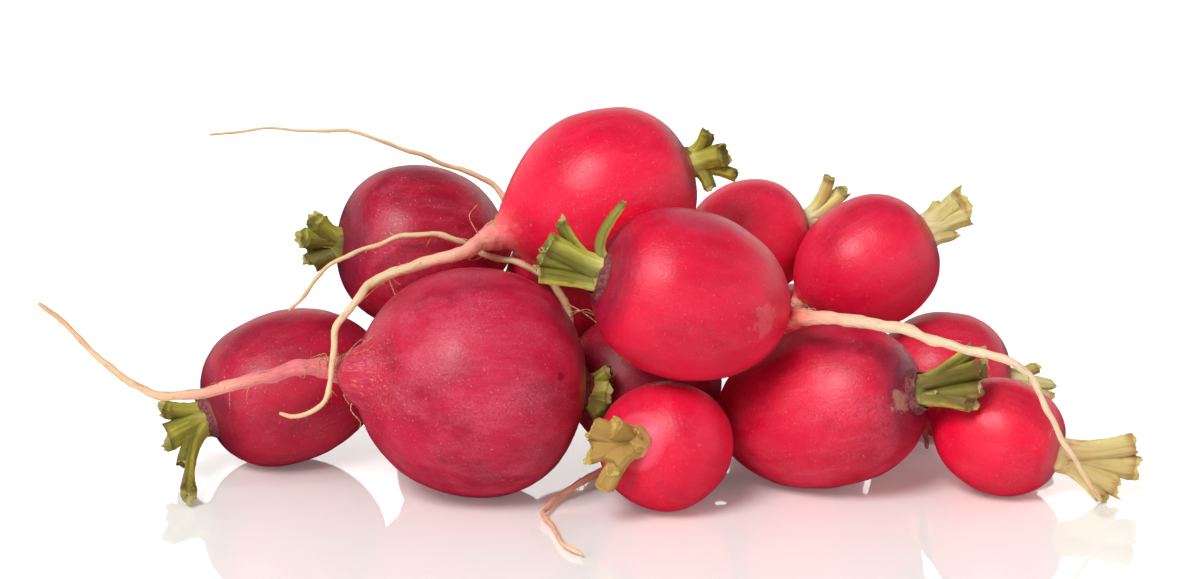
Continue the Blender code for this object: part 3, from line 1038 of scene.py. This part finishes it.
    def papery_collar(self) -> bpy.types.Object:
        """Model the ragged dry collar round the foot of the stalks.

        Returns:
            The collar, in its place.
        """
        chance = random.Random(self.index * 13 + 3)
        half = self.crown_across / 2
        shares = ((0.0, 0.97), (0.6, 0.93), (1.1, 0.84), (1.6, 0.76), (2.3, 0.74))
        rings = [(height, half * share) for height, share in shares]
        piece = drawn_up(f"{self.name}_collar", rings, COLLAR_SIDES, filled=False)
        tears = [chance.uniform(-1, 1) for _ in range(COLLAR_SIDES)]
        for corner in piece.data.vertices:
            angle = math.atan2(corner.co.y, corner.co.x)
            tear = tears[round(angle / math.tau * COLLAR_SIDES) % COLLAR_SIDES]
            lift = max(0.0, corner.co.z - 0.8) / 1.6
            corner.co.z += lift * (tear * 1.1 - 0.4 + 0.5 * math.sin(3 * angle + self.index)) * self.collar
            corner.co.x *= 1 + 0.05 * tear * lift
            corner.co.y *= 1 + 0.05 * tear * lift
        select_only(piece)
        wall = piece.modifiers.new("wall", "SOLIDIFY")
        wall.thickness = COLLAR_WALL
        wall.offset = 0
        bpy.ops.object.modifier_apply(modifier=wall.name)
        rounded(piece, 1)
        axes = frame_about(self.axis)
        low = self.axis * (self.long * 0.5 - 0.5)
        Line([low, low + self.axis * 5], axes).bend(piece, self.origin)
        above_table(piece)
        return piece

    def fine_roots(self) -> bpy.types.Object:
        """Model the rootlets and the short hairs of the tail as thin tubes.

        Returns:
            All of them as one piece, in its place.
        """
        line = self.root_line()
        chance = random.Random(self.index * 57 + 1)
        paths: list[tuple[list[Vector], float]] = []
        for thread in self.rootlets:
            start, _ = line.at(self.long + thread.run)
            points = smooth_points([start, *(start + Vector(step) for step in thread.path)], 0.8)
            paths.append((points, thread.radius))
        paths += self.creepers.paths(self, line, chance)
        tail_long = line.length - self.long
        for _ in range(self.hairs):
            run = tail_long * chance.uniform(0.02, 0.97)
            point, axes = line.at(self.long + run)
            angle = chance.uniform(0, math.tau)
            out = axes @ Vector((math.cos(angle), math.sin(angle), chance.uniform(-0.3, 0.9)))
            long = chance.uniform(0.7, 2.4)
            droop = Vector((chance.uniform(-0.4, 0.4), 0, chance.uniform(-0.7, 0.1))) * long
            start = point + out * self.tail_radius(run / tail_long) * 0.6
            points = [start, start + out * long * 0.5 + droop * 0.2, start + out * long * 0.8 + droop]
            paths.append((smooth_points(points, 0.5), HAIR_RADIUS))
        curve = bpy.data.curves.new(f"{self.name}_rootlets", "CURVE")
        curve.dimensions = "3D"
        curve.bevel_depth = MM
        curve.bevel_resolution = 1
        curve.use_fill_caps = True
        for points, radius in paths:
            spline = curve.splines.new("POLY")
            spline.points.add(len(points) - 1)
            for index, (point, knot) in enumerate(zip(points, spline.points)):
                place = (self.origin + point) * MM
                knot.co = (place.x, place.y, max(place.z, radius * MM), 1)
                knot.radius = radius * (1 - 0.65 * index / len(points))
        piece = bpy.data.objects.new(f"{self.name}_rootlets", curve)
        bpy.context.scene.collection.objects.link(piece)
        select_only(piece)
        bpy.ops.object.convert(target="MESH")
        return bpy.context.active_object

    def build(self) -> None:
        """Build the radish's pieces, dress them and give them to the frame."""
        root_node, crown_node = f"{self.name}_root", f"{self.name}_crown"
        root = self.root()
        root.data.materials.append(self.skin.material())
        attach(root, BODY)
        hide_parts(root_node)
        crown = self.crown()
        crown.data.materials.append(self.flesh.material())
        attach(crown, BODY)
        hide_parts(crown_node)
        LOG.info("%s: root and crown", self.name)
        if self.collar:
            collar = self.papery_collar()
            collar.data.materials.append(COLLAR_PAPER.material())
            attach(collar, BODY)
            LOG.info("%s: collar", self.name)
        rootlets = self.fine_roots()
        rootlets.data.materials.append(ROOT_THREAD.material())
        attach(rootlets, BODY)
        LOG.info("%s: rootlets", self.name)


COLLAR_PAPER = DrySkin("papery_collar", "#94504a", "#6a2434")
ROOT_THREAD = DrySkin("root_thread", "#e3bf8c", "#a8743f")


def bright(name: str, main: str = "#e0133b", deep: str = "#c20c31", **more: object) -> RadishSkin:
    """Choose a bright red skin.

    Args:
        name: the material's name.
        main: its red.
        deep: the red of its deeper patches.
        more: whatever else differs.

    Returns:
        The skin.
    """
    tail = {"tail_first": "#eda98f", "tail_middle": "#efd2a8", "tail_last": "#e6c094"}
    return RadishSkin(name, main, deep, **{"flush": "#f0657f", **tail, **more})


def dark(name: str, main: str = "#bd1537", deep: str = "#910c29", **more: object) -> RadishSkin:
    """A dark crimson skin, like bright() but duller."""
    tail = {"tail_first": "#e06f7e", "tail_middle": "#edc69c", "tail_last": "#dfb586"}
    return RadishSkin(name, main, deep, **{"flush": "#d9617a", **tail, **more})


def green(name: str, **more: object) -> StalkFlesh:
    """Fresh green stalks, with whatever differs."""
    return StalkFlesh(name, **{"main": "#a39d4a", "foot": "#bfb266", "rib": "#6f6a2a", **more})


def cream(name: str, **more: object) -> StalkFlesh:
    """Pale stalks, yellow-green to cream, with whatever differs."""
    pale = {"main": "#e2cf90", "foot": "#ecd2a0", "rib": "#bfae62", "cut": "#dad27e", "dry": "#b07a42"}
    # Pale stalks get a paler painted shade down their sides
    return StalkFlesh(name, **{**pale, "edge": "#a07434", "ribbing": 0.6, **more})


def radishes() -> list[Radish]:
    """List the radishes of the pile, with what the photograph shows of each.

    Returns:
        The radishes, numbered in order.
    """
    torn, pointed = Cut.TORN, Cut.POINTED
    pile = [
        Radish(
            "big_front", 40.8, 39.5, (-22.9, 0.0), 14, -8, 2.2, 0.45, 10, 3.5,
            (
                (-24.0, -2.0, 2.8), (-28.0, -3.0, 3.6), (-32.0, -4.5, 3.2), (-40.0, -7.0, 2.0),
                (-47.0, -8.0, 0.2), (-53.5, -8.0, 0.0), (-57.5, -7.5, 1.4), (-63.0, -6.0, 4.6),
                (-67.5, -5.0, 9.0), (-71.5, -4.0, 12.8), (-75.0, -3.0, 15.2),
            ),
            (
                Stalk((5.4, -2.0, 3.9), 2.6, torn), Stalk((5.6, -2.0, -0.2), 4.8, torn),
                Stalk((4.0, -3.0, -4.4), 4.0), Stalk((5.5, -0.5, 2.0), 3.0),
            ),
            dark(
                "big_front_skin", "#cb1a41", "#a60e31", flush="#e87088", bloom=0.5, streaks=0.15, specks=0.5,
                drains_from=1.0, drained_at=1.1, tail_first="#f07e84", tail_middle="#f3c8a0", tail_turns=1.42,
                scabs=0.45, scratches=0.6, marks=(Mark((16.2, 6.7, 7.9), 1.8, "#4a0c22", 0.7, 0.45),),
            ),
            green("big_front_flesh", main="#dcd86a", foot="#e4de94", rib="#99933a", dryness=0.3),
            0.45, 4.2, 0.6, 26,
            (
                Thread(4.0, ((1.2, -1.5, 2.2), (2.8, -2.2, 3.4), (3.8, -2.6, 2.0)), 0.16),
                Thread(3.0, ((0.5, -2.5, -1.5), (-0.4, -3.2, -3.2), (0.6, -3.6, -4.8)), 0.14),
                Thread(
                    1.0, ((-0.2, -3.0, -3.2), (-0.8, -3.8, -5.4), (0.9, -4.0, -7.6), (0.6, -4.0, -9.0)), 0.16
                ),
                Thread(5.0, ((1.5, -2.0, 1.0), (4.5, -3.4, 2.6), (5.5, -4.2, 4.8)), 0.13),
            ),
            Creepers(11, 5, 115, 8),
        ),
        Radish(
            "top", 30.0, 37.0, (-1.6, 18.5, 48.3), 12, 18, 2.4, 0.92, 9, 2.8,
            (
                (-19.8, -6.8, -6.0), (-21.8, -9.8, -6.6), (-26.5, -12.0, -7.4), (-32.0, -13.5, -8.8),
                (-38.5, -16.5, -10.3), (-40.5, -19.5, -12.3), (-43.0, -22.0, -14.8), (-44.5, -23.5, -16.8),
                (-45.0, -24.5, -20.3), (-45.5, -25.0, -25.8), (-46.5, -25.0, -29.3), (-49.0, -24.5, -31.8),
                (-52.0, -24.0, -32.8), (-54.5, -23.5, -32.3),
            ),
            (
                Stalk((2.9, -1.5, 6.0), 2.4), Stalk((6.2, -3.0, 2.2), 4.0), Stalk((8.4, -1.5, -2.0), 2.8),
                Stalk((3.9, -3.0, -4.2), 3.0, torn), Stalk((3.5, 3.5, 4.0), 3.2), Stalk((6.5, 3.0, 0.0), 3.4),
            ),
            bright(
                "top_skin", "#f81040", "#e00c36", bloom=0.26, streaks=0.2, drains_from=0.86, drained_at=1.08,
                tail_first="#ffa69c", tail_middle="#efd2a6", tail_turns=1.2, scabs=0.2,
            ),
            green("top_flesh", main="#d0c850", foot="#d8cf76", rib="#8a8426", dryness=0.35),
            0.4, 1.4, 0.0, 18,
            (
                Thread(23.0, ((1.0, -0.5, -2.6), (2.0, -0.6, -5.4), (2.4, -0.6, -7.4)), 0.14),
                Thread(20.5, ((-2.0, -0.6, -1.2), (-4.4, -0.8, -2.8), (-6.3, -1.0, -4.6)), 0.16),
                Thread(35.0, ((-0.7, 0.2, -1.8), (-1.5, 0.4, -3.8)), 0.13),
                Thread(47.0, ((0.2, -0.3, -1.3), (0.1, -0.4, -2.8)), 0.12),
                Thread(3.0, ((-1.4, -0.8, 2.4), (-2.4, -1.0, 5.0), (-0.9, -1.0, 7.0)), 0.14),
                Thread(4.0, ((1.0, -1.2, -1.6), (-1.0, -1.6, -2.8), (-3.0, -1.6, -2.4)), 0.12),
            ),
        ),
        Radish(
            "centre", 30.0, 34.5, (16.4, -5.4, 37.5), 193, 17, 2.4, 0.52, 9.5, 2.8,
            (
                (21.0, -3.5, -2.6), (27.0, -5.5, -2.6), (35.5, -7.5, -3.5), (41.5, -8.5, -5.3),
                (48.5, -9.5, -7.0), (53.5, -10.5, -8.2), (57.0, -10.5, -10.5), (59.5, -11.0, -14.0),
                (61.0, -11.0, -17.0), (63.5, -11.5, -22.5), (67.0, -11.5, -28.0), (70.5, -11.5, -33.5),
            ),
            (
                Stalk((-9.4, -2.0, 6.2), 5.0), Stalk((-10.8, -2.6, 1.2), 3.8, torn),
                Stalk((-6.9, 0.5, 9.5), 2.6, torn), Stalk((4.4, 2.0, 12.6), 2.3, pointed),
                Stalk((-10.4, -2.2, 3.6), 4.0),
            ),
            bright(
                "centre_skin", "#e8103b", "#cf0b33", bloom=0.22, streaks=0.1, specks=0.3, drains_from=1.0,
                drained_at=1.13, tail_first="#f09484", tail_middle="#f2d6b2", tail_turns=1.15, scabs=0.4,
                scratches=0.4, marks=(
                    # Painted sheen: a broad grey-pink patch whose fringe shows as a pale band along the top
                    # rim of the bulb
                    Mark((0.0, 15.5, 14.0), 19.0, "#b4506c", 0.4, 0.35),
                    Mark((-11.6, 1.0, 26.9), 6.0, "#f3a29c", 0.2, 1.0),
                ),
            ),
            green("centre_flesh", main="#e4e05a", foot="#e8e480", rib="#858022", dryness=0.35),
            0.45, 1.3, 0.8, 18,
        ),
        Radish(
            "left_back", 29.5, 30.5, (-31.9, 30.3, 36.0), 195, 6, 2.4, 0.50, 10, 1.4,
            (
                (15.8, 3.6, 2.2), (15.0, 7.0, 5.6), (12.0, 9.6, 9.2), (4.0, 10.0, 12.6),
                (-3.8, 8.5, 16.0), (-9.1, 7.5, 18.4), (-15.4, 6.5, 20.2), (-21.7, 5.5, 20.4),
                (-27.0, 4.5, 21.1), (-32.4, 3.5, 20.8), (-38.6, 2.5, 20.4),
            ),
            (
                Stalk((-4.6, -1.5, 5.0), 4.2), Stalk((-6.6, -1.5, 1.4), 4.6, torn),
                Stalk((-5.6, -1.0, -3.2), 4.4, torn), Stalk((-4.0, 2.5, 3.5), 4.0),
                Stalk((-5.5, 2.5, -1.5), 4.2),
            ),
            dark(
                "left_back_skin", "#bd1035", "#8a0925", bloom=0.5, streaks=0.35, specks=0.6,
                tail_first="#e6b490", tail_middle="#eccb9e", tail_turns=1.1,
            ),
            green("left_back_flesh", main="#bab648", foot="#aa9c48", rib="#6a6220", cut="#c8c26c"),
            0.22, 0.8, 0.0, 10,
        ),
        Radish(
            "far_left", 27.0, 33.0, (-54.8, 17.0), 200, -14, 2.4, 0.50, 9.5, 1.8,
            ((17.5, 5.0, 1.5), (19.5, 9.0, -3.0), (19.5, 15.0, -8.0), (16.5, 22.0, -11.8)),
            (
                Stalk((-7.5, -3.0, 2.0), 3.8, torn), Stalk((-7.4, -5.0, -2.6), 4.8, torn),
                Stalk((-3.9, -7.0, -7.2), 4.2), Stalk((-2.0, -21.0, -7.6), 2.2, torn, flared=1.7),
                Stalk((-6.5, 1.0, 0.0), 3.8),
            ),
            dark("far_left_skin", "#c41739", "#980d2b", bloom=0.3, streaks=0.2, specks=0.5),
            green("far_left_flesh", main="#c4be4a", foot="#c4b95a", rib="#7a7326", dryness=0.4),
            0.4, 0.8, 0.5, 6,
        ),
        Radish(
            "front_small", 23.2, 22.5, (12.0, -8.0), 239, 20, 2.3, 0.50, 9, 1.8,
            ((6.2, 10.4, -4.2), (7.0, 11.8, -4.6)),
            (
                Stalk((-7.9, -2.0, 3.4), 3.6), Stalk((-8.3, -2.0, -1.2), 4.0, torn),
                Stalk((-5.7, -3.0, -7.6), 3.4), Stalk((-4.0, -3.5, 3.8), 3.6, torn),
                Stalk((-4.5, -4.5, -3.0), 3.8, torn),
            ),
            bright(
                "front_small_skin", "#ea113c", "#d60d36", flush="#f25c78", crown_tint="#ef4c6a", bloom=0.25,
                specks=0.35, tint_reach=0.018,
            ),
            cream(
                "front_small_flesh", main="#dcc070", foot="#ecb088", rib="#b48c3c", cut="#c4c45c",
                dryness=0.3, ribbing=0.9,
            ),
            0.4, 0.8, 0.0, 0,
        ),
        Radish(
            "right_mid", 28.6, 38.5, (38.4, 3.1), -24, 17, 2.4, 0.55, 9, 2.4,
            (
                (-21.2, 3.0, -8.4), (-25.0, 1.5, -10.6), (-32.0, -0.5, -11.0), (-38.0, -2.5, -10.8),
                (-42.0, -6.5, -11.6), (-45.2, -9.8, -12.4), (-46.8, -13.2, -12.8), (-47.8, -17.0, -12.9),
                (-48.0, -20.0, -13.0), (-46.2, -26.0, -13.1), (-44.8, -33.0, -13.3), (-41.4, -38.0, -13.4),
            ),
            (
                Stalk((10.2, -2.0, 8.8), 3.2, torn), Stalk((11.4, -4.0, 5.4), 4.0),
                Stalk((11.0, -4.6, 2.4), 3.6), Stalk((9.4, -5.0, -0.6), 3.4, torn),
                Stalk((8.6, 0.5, 3.6), 3.4),
            ),
            bright(
                "right_mid_skin", "#e0133c", "#b80d31", bloom=0.42, streaks=0.15, specks=0.35,
                tail_first="#a8565a", tail_middle="#f2b692", tail_last="#fbd0a8", tail_turns=1.4, scabs=0.35,
                marks=(
                    Mark((3.4, 1.6, 0.4), 9.0, "#6a1632", 0.6, 0.5),
                    Mark((5.4, 0.0, 1.0), 4.2, "#b9826c", 0.8, 0.8),
                ),
            ),
            green(
                "right_mid_flesh", main="#d2cc5c", foot="#c0ae62", rib="#80702a", dry="#84583a", dryness=0.8
            ),
            0.35, 0.8, 0.7, 20,
        ),
        Radish(
            "right_small", 21.0, 23.0, (70.0, 0.0), -20, -12, 2.3, 0.52, 9, 1.8,
            ((-11.8, 6.2, 0.8), (-11.8, 10.0, -2.5), (-11.0, 15.0, -7.5)),
            (
                Stalk((13.2, -1.0, 2.3), 4.8), Stalk((13.2, -1.0, -1.9), 4.6, torn),
                Stalk((10.2, -2.0, -4.8), 4.2, torn), Stalk((7.6, -3.5, -6.8), 2.8, torn),
                Stalk((8.0, 1.5, 0.5), 4.2),
            ),
            bright(
                "right_small_skin", "#f20a3a", "#dc0833", crown_tint="#d0566c", bloom=0.2, specks=0.3,
                tint_reach=0.08, tail_first="#b42a46", tail_middle="#a84a4c", tail_last="#b87860",
            ),
            cream("right_small_flesh", main="#f0e09c", foot="#f6d09a", rib="#c0b060"),
            0.4, 0.8, 0.0, 3,
        ),
        Radish(
            "right_top", 23.8, 26.5, (47.7, 30.4, 32.4), 14, 27, 2.4, 0.55, 9, 1.8,
            ((-13.0, -4.5, -8.5), (-14.0, -6.5, -12.0)),
            (
                Stalk((5.9, -1.0, 6.0), 3.8, torn), Stalk((7.8, -1.5, 3.4), 4.0, torn),
                Stalk((5.2, -2.0, -0.6), 2.6, pointed), Stalk((2.5, 1.0, 4.7), 3.2),
            ),
            bright(
                "right_top_skin", "#f01642", "#d00e36", bloom=0.25, streaks=0.15, crown_tint="#a8283c",
                specks=0.3,
            ),
            cream("right_top_flesh", main="#d8ce88", foot="#e8d8a4", rib="#a89c4a", dryness=0.35),
            0.4, 0.8, 0.0, 3,
        ),
        Radish(
            "back", 21.5, 23.0, (26.6, 41.9, 33.9), 22, 10, 2.4, 0.55, 8, 1.6,
            ((-12.6, -5.5, -4.0), (-14.5, -6.5, -8.0)),
            (
                Stalk((4.8, -1.0, 9.2), 2.4), Stalk((7.5, 0.0, 6.3), 3.0, torn), Stalk((6.7, 1.0, 2.2), 2.8),
            ),
            bright("back_skin", "#f81844", "#dc1039", bloom=0.3, specks=0.3),
            # The painted shade down these stalks' sides is pale
            green("back_flesh", main="#fcf6ae", foot="#f6efb6", rib="#dcd27c", dryness=0.05, edge="#c4bc6a"),
            0.4, 0.8, 0.0, 3,
        ),
        Radish(
            "back_right", 23.5, 25.0, (62.0, 31.0), 5, -8, 2.4, 0.55, 9, 1.8,
            ((-13.6, -2.5, 1.0), (-16.0, -5.0, -3.0)),
            (
                Stalk((8.5, -1.0, -0.2), 2.6, pointed), Stalk((8.2, -2.5, -2.5), 2.6),
                Stalk((5.5, 2.0, 2.0), 2.8),
            ),
            bright("back_right_skin", "#e0163d", "#c00f32", specks=0.3),
            cream("back_right_flesh", main="#cfc688", foot="#ddd39c", rib="#a89e58"),
            0.4, 0.8, 0.0, 3,
        ),
        Radish(
            "middle", 26.0, 28.0, (7.1, 17.7), 10, -30, 2.4, 0.55, 9, 1.6,
            (
                (-12.6, -2.0, 11.0), (-13.5, -2.4, 16.5), (-17.0, -3.0, 21.2), (-21.5, -2.8, 23.4),
                (-24.8, -1.8, 24.0), (-27.8, -1.2, 24.8), (-30.6, -1.5, 26.4), (-33.5, -3.0, 28.1),
                (-36.5, -3.5, 29.1), (-40.5, -4.5, 29.3), (-44.0, -5.0, 28.8), (-47.5, -6.0, 27.4),
                (-53.5, -8.0, 25.6), (-57.0, -9.0, 23.0), (-59.5, -11.0, 19.6), (-62.0, -12.0, 17.6),
            ),
            (Stalk((5.0, 0.5, -2.2), 3.4), Stalk((5.5, 3.5, 0.0), 3.4), Stalk((5.5, -1.0, 1.5), 3.4)),
            dark(
                "middle_skin", "#b01233", "#850b26", tail_first="#ecc898", tail_middle="#eecd9e",
                tail_turns=1.1, scabs=0.15,
            ),
            green("middle_flesh"),
            0.35, 0.6, 0.0, 12,
            (
                Thread(29.0, ((-1.6, -0.6, 2.0), (-4.0, -0.8, 2.2), (-6.4, -1.0, 2.6)), 0.14),
                Thread(9.0, ((2.4, -2.0, -0.6), (5.0, -3.6, -2.0), (6.6, -4.6, -3.4)), 0.14),
                Thread(7.0, ((2.0, -2.2, 1.2), (4.6, -4.0, 1.0), (7.4, -5.0, -0.8)), 0.14),
                Thread(6.0, ((1.4, -2.2, 1.8), (3.4, -4.0, 3.0), (5.0, -5.0, 2.2)), 0.12),
            ),
        ),
        Radish(
            "under_left", 23.0, 24.0, (-26.0, 39.5), 100, -6, 2.4, 0.52, 9, 1.8,
            ((1.8, -13.2, 0.5), (2.0, -15.5, -3.0)),
            (Stalk((-4.0, 5.5, 2.5), 3.8), Stalk((-0.5, 7.0, 0.0), 4.0, torn), Stalk((2.5, 6.0, -2.0), 3.8)),
            dark("under_left_skin"), green("under_left_flesh"), 0.4, 0.8, 0.0, 3,
        ),
        Radish(
            "under_right", 25.0, 27.0, (36.5, 41.9), 75, -6, 2.4, 0.52, 9, 1.8,
            ((-4.0, -14.6, 1.0), (-5.0, -17.0, -3.0)),
            (Stalk((4.5, 6.0, 2.5), 3.8, torn), Stalk((1.0, 7.5, 0.0), 4.0), Stalk((-2.5, 6.0, -2.0), 3.8)),
            bright("under_right_skin"), green("under_right_flesh"), 0.4, 0.8, 0.0, 3,
        ),
        Radish(
            "under_top", 25.0, 27.0, (-5.6, 36.0, 26.5), 80, 10, 2.4, 0.52, 9, 1.8,
            ((-2.8, -15.0, -3.6), (-3.4, -17.0, -7.0)),
            (Stalk((3.5, 6.0, 4.5), 3.8), Stalk((1.0, 7.5, 1.0), 4.0, torn), Stalk((-3.0, 6.0, 3.0), 3.8)),
            bright("under_top_skin"), green("under_top_flesh"), 0.4, 0.8, 0.0, 3,
        ),
    ]
    for index, radish in enumerate(pile):
        radish.index = index
    return pile


# Polished acrylic mirrors the pile clearly but palely, and light from under it keeps the shadows thin
WHITE_ACRYLIC = WhiteSheet("white_acrylic", 0.04, 1.9, 0.06)
# Paper is quite matt, and bright enough to whiten what the table mirrors
WHITE_PAPER = WhiteSheet("white_paper", 0.9, 1.5, 1.25)


@dataclass(frozen=True)
class Studio:
    """The white table, the soft lights and the camera, at the photograph's angle.

    Lengths are in metres, and the lens and the sensor in millimetres.
    """

    elevation: float = 17.0
    distance: float = 0.8
    lens: float = 137.1
    sensor: float = 36.0
    nearest: float = 0.05
    farthest: float = 20.0
    target: tuple[float, float, float] = (0.0016, -0.0142, 0.0372)
    table_across: float = 24.0
    wall_radius: float = 3.0
    wall_height: float = 1.4
    wall_sides: int = 96
    sky: float = 0.3

    def table(self) -> bpy.types.Object:
        """Lay a white polished table under the pile.

        Returns:
            The table.
        """
        select_only()
        bpy.ops.mesh.primitive_plane_add(size=self.table_across)
        floor = bpy.context.active_object
        floor.name = "table"
        floor.data.materials.append(WHITE_ACRYLIC.material())
        # The skins don't mirror the table, which keeps their undersides a full red
        floor.visible_glossy = False
        return floor

    def paper_wall(self, table: bpy.types.Object) -> None:
        """Stand a low wall of glowing white paper far round the pile, for the table's polish alone.

        Args:
            table: the table that reflects it.
        """
        select_only()
        bpy.ops.mesh.primitive_cylinder_add(
            vertices=self.wall_sides, radius=self.wall_radius, depth=self.wall_height,
            end_fill_type="NOTHING", location=(0, 0, self.wall_height / 2),
        )
        wall = bpy.context.active_object
        wall.name = "paper_wall"
        bpy.ops.object.transform_apply(location=True, rotation=True, scale=True)
        wall.data.materials.append(WHITE_PAPER.material())
        lit = bpy.data.collections.new("lit_by_the_wall")
        lit.objects.link(table)
        wall.light_linking.receiver_collection = lit

    def lamp(self, name: str, place: tuple[float, float, float], power: float, spread: float) -> None:
        """Hang a far light that faces the pile.

        Args:
            name: the light's name.
            place: the side that it shines from, in metres.
            power: its power, in watts a square metre.
            spread: how wide it looks from the pile, in degrees, which softens its shadows.
        """
        light = bpy.data.lights.new(name, "SUN")
        light.energy = power
        light.angle = math.radians(spread)
        lamp = bpy.data.objects.new(name, light)
        lamp.location = place
        aim = Vector(self.target) - lamp.location
        lamp.rotation_euler = aim.to_track_quat("-Z", "Y").to_euler()
        bpy.context.scene.collection.objects.link(lamp)

    def lights(self) -> None:
        """Light the pile softly from above, left and right, in a white room."""
        world = bpy.data.worlds.new("white_room")
        bpy.context.scene.world = world
        world.use_nodes = True
        sky = world.node_tree.nodes["Background"]
        sky.inputs["Color"].default_value = (1.0, 1.0, 1.0, 1.0)
        sky.inputs["Strength"].default_value = self.sky
        # Only the lamps show in the skins' gloss
        world.cycles_visibility.glossy = False
        # A wide soft box is so far away that it lights the whole table alike
        self.lamp("key", (-0.8, -1.3, 1.65), 2.35, 26)
        self.lamp("fill", (1.2, -0.6, 1.0), 0.15, 60)
        bpy.context.scene.view_settings.view_transform = "Standard"

    def camera(self) -> None:
        """Stand the camera where the photograph was taken from."""
        slope = math.radians(self.elevation)
        eye = bpy.data.cameras.new("camera")
        eye.lens = self.lens
        eye.sensor_width = self.sensor
        eye.clip_start = self.nearest
        eye.clip_end = self.farthest
        stand = bpy.data.objects.new("camera", eye)
        back = Vector((0, -math.cos(slope), math.sin(slope)))
        stand.location = Vector(self.target) + back * self.distance
        stand.rotation_euler = (math.pi / 2 - slope, 0, 0)
        bpy.context.scene.collection.objects.link(stand)
        bpy.context.scene.camera = stand

    def build(self) -> None:
        """Set the whole studio up."""
        self.paper_wall(self.table())
        self.lights()
        self.camera()


def main() -> None:
    """Build the studio and every radish."""
    logging.basicConfig(level=logging.INFO, format="%(name)s: %(message)s")
    Studio().build()
    for radish in radishes():
        radish.build()
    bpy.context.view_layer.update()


if __name__ == "__main__":
    main()
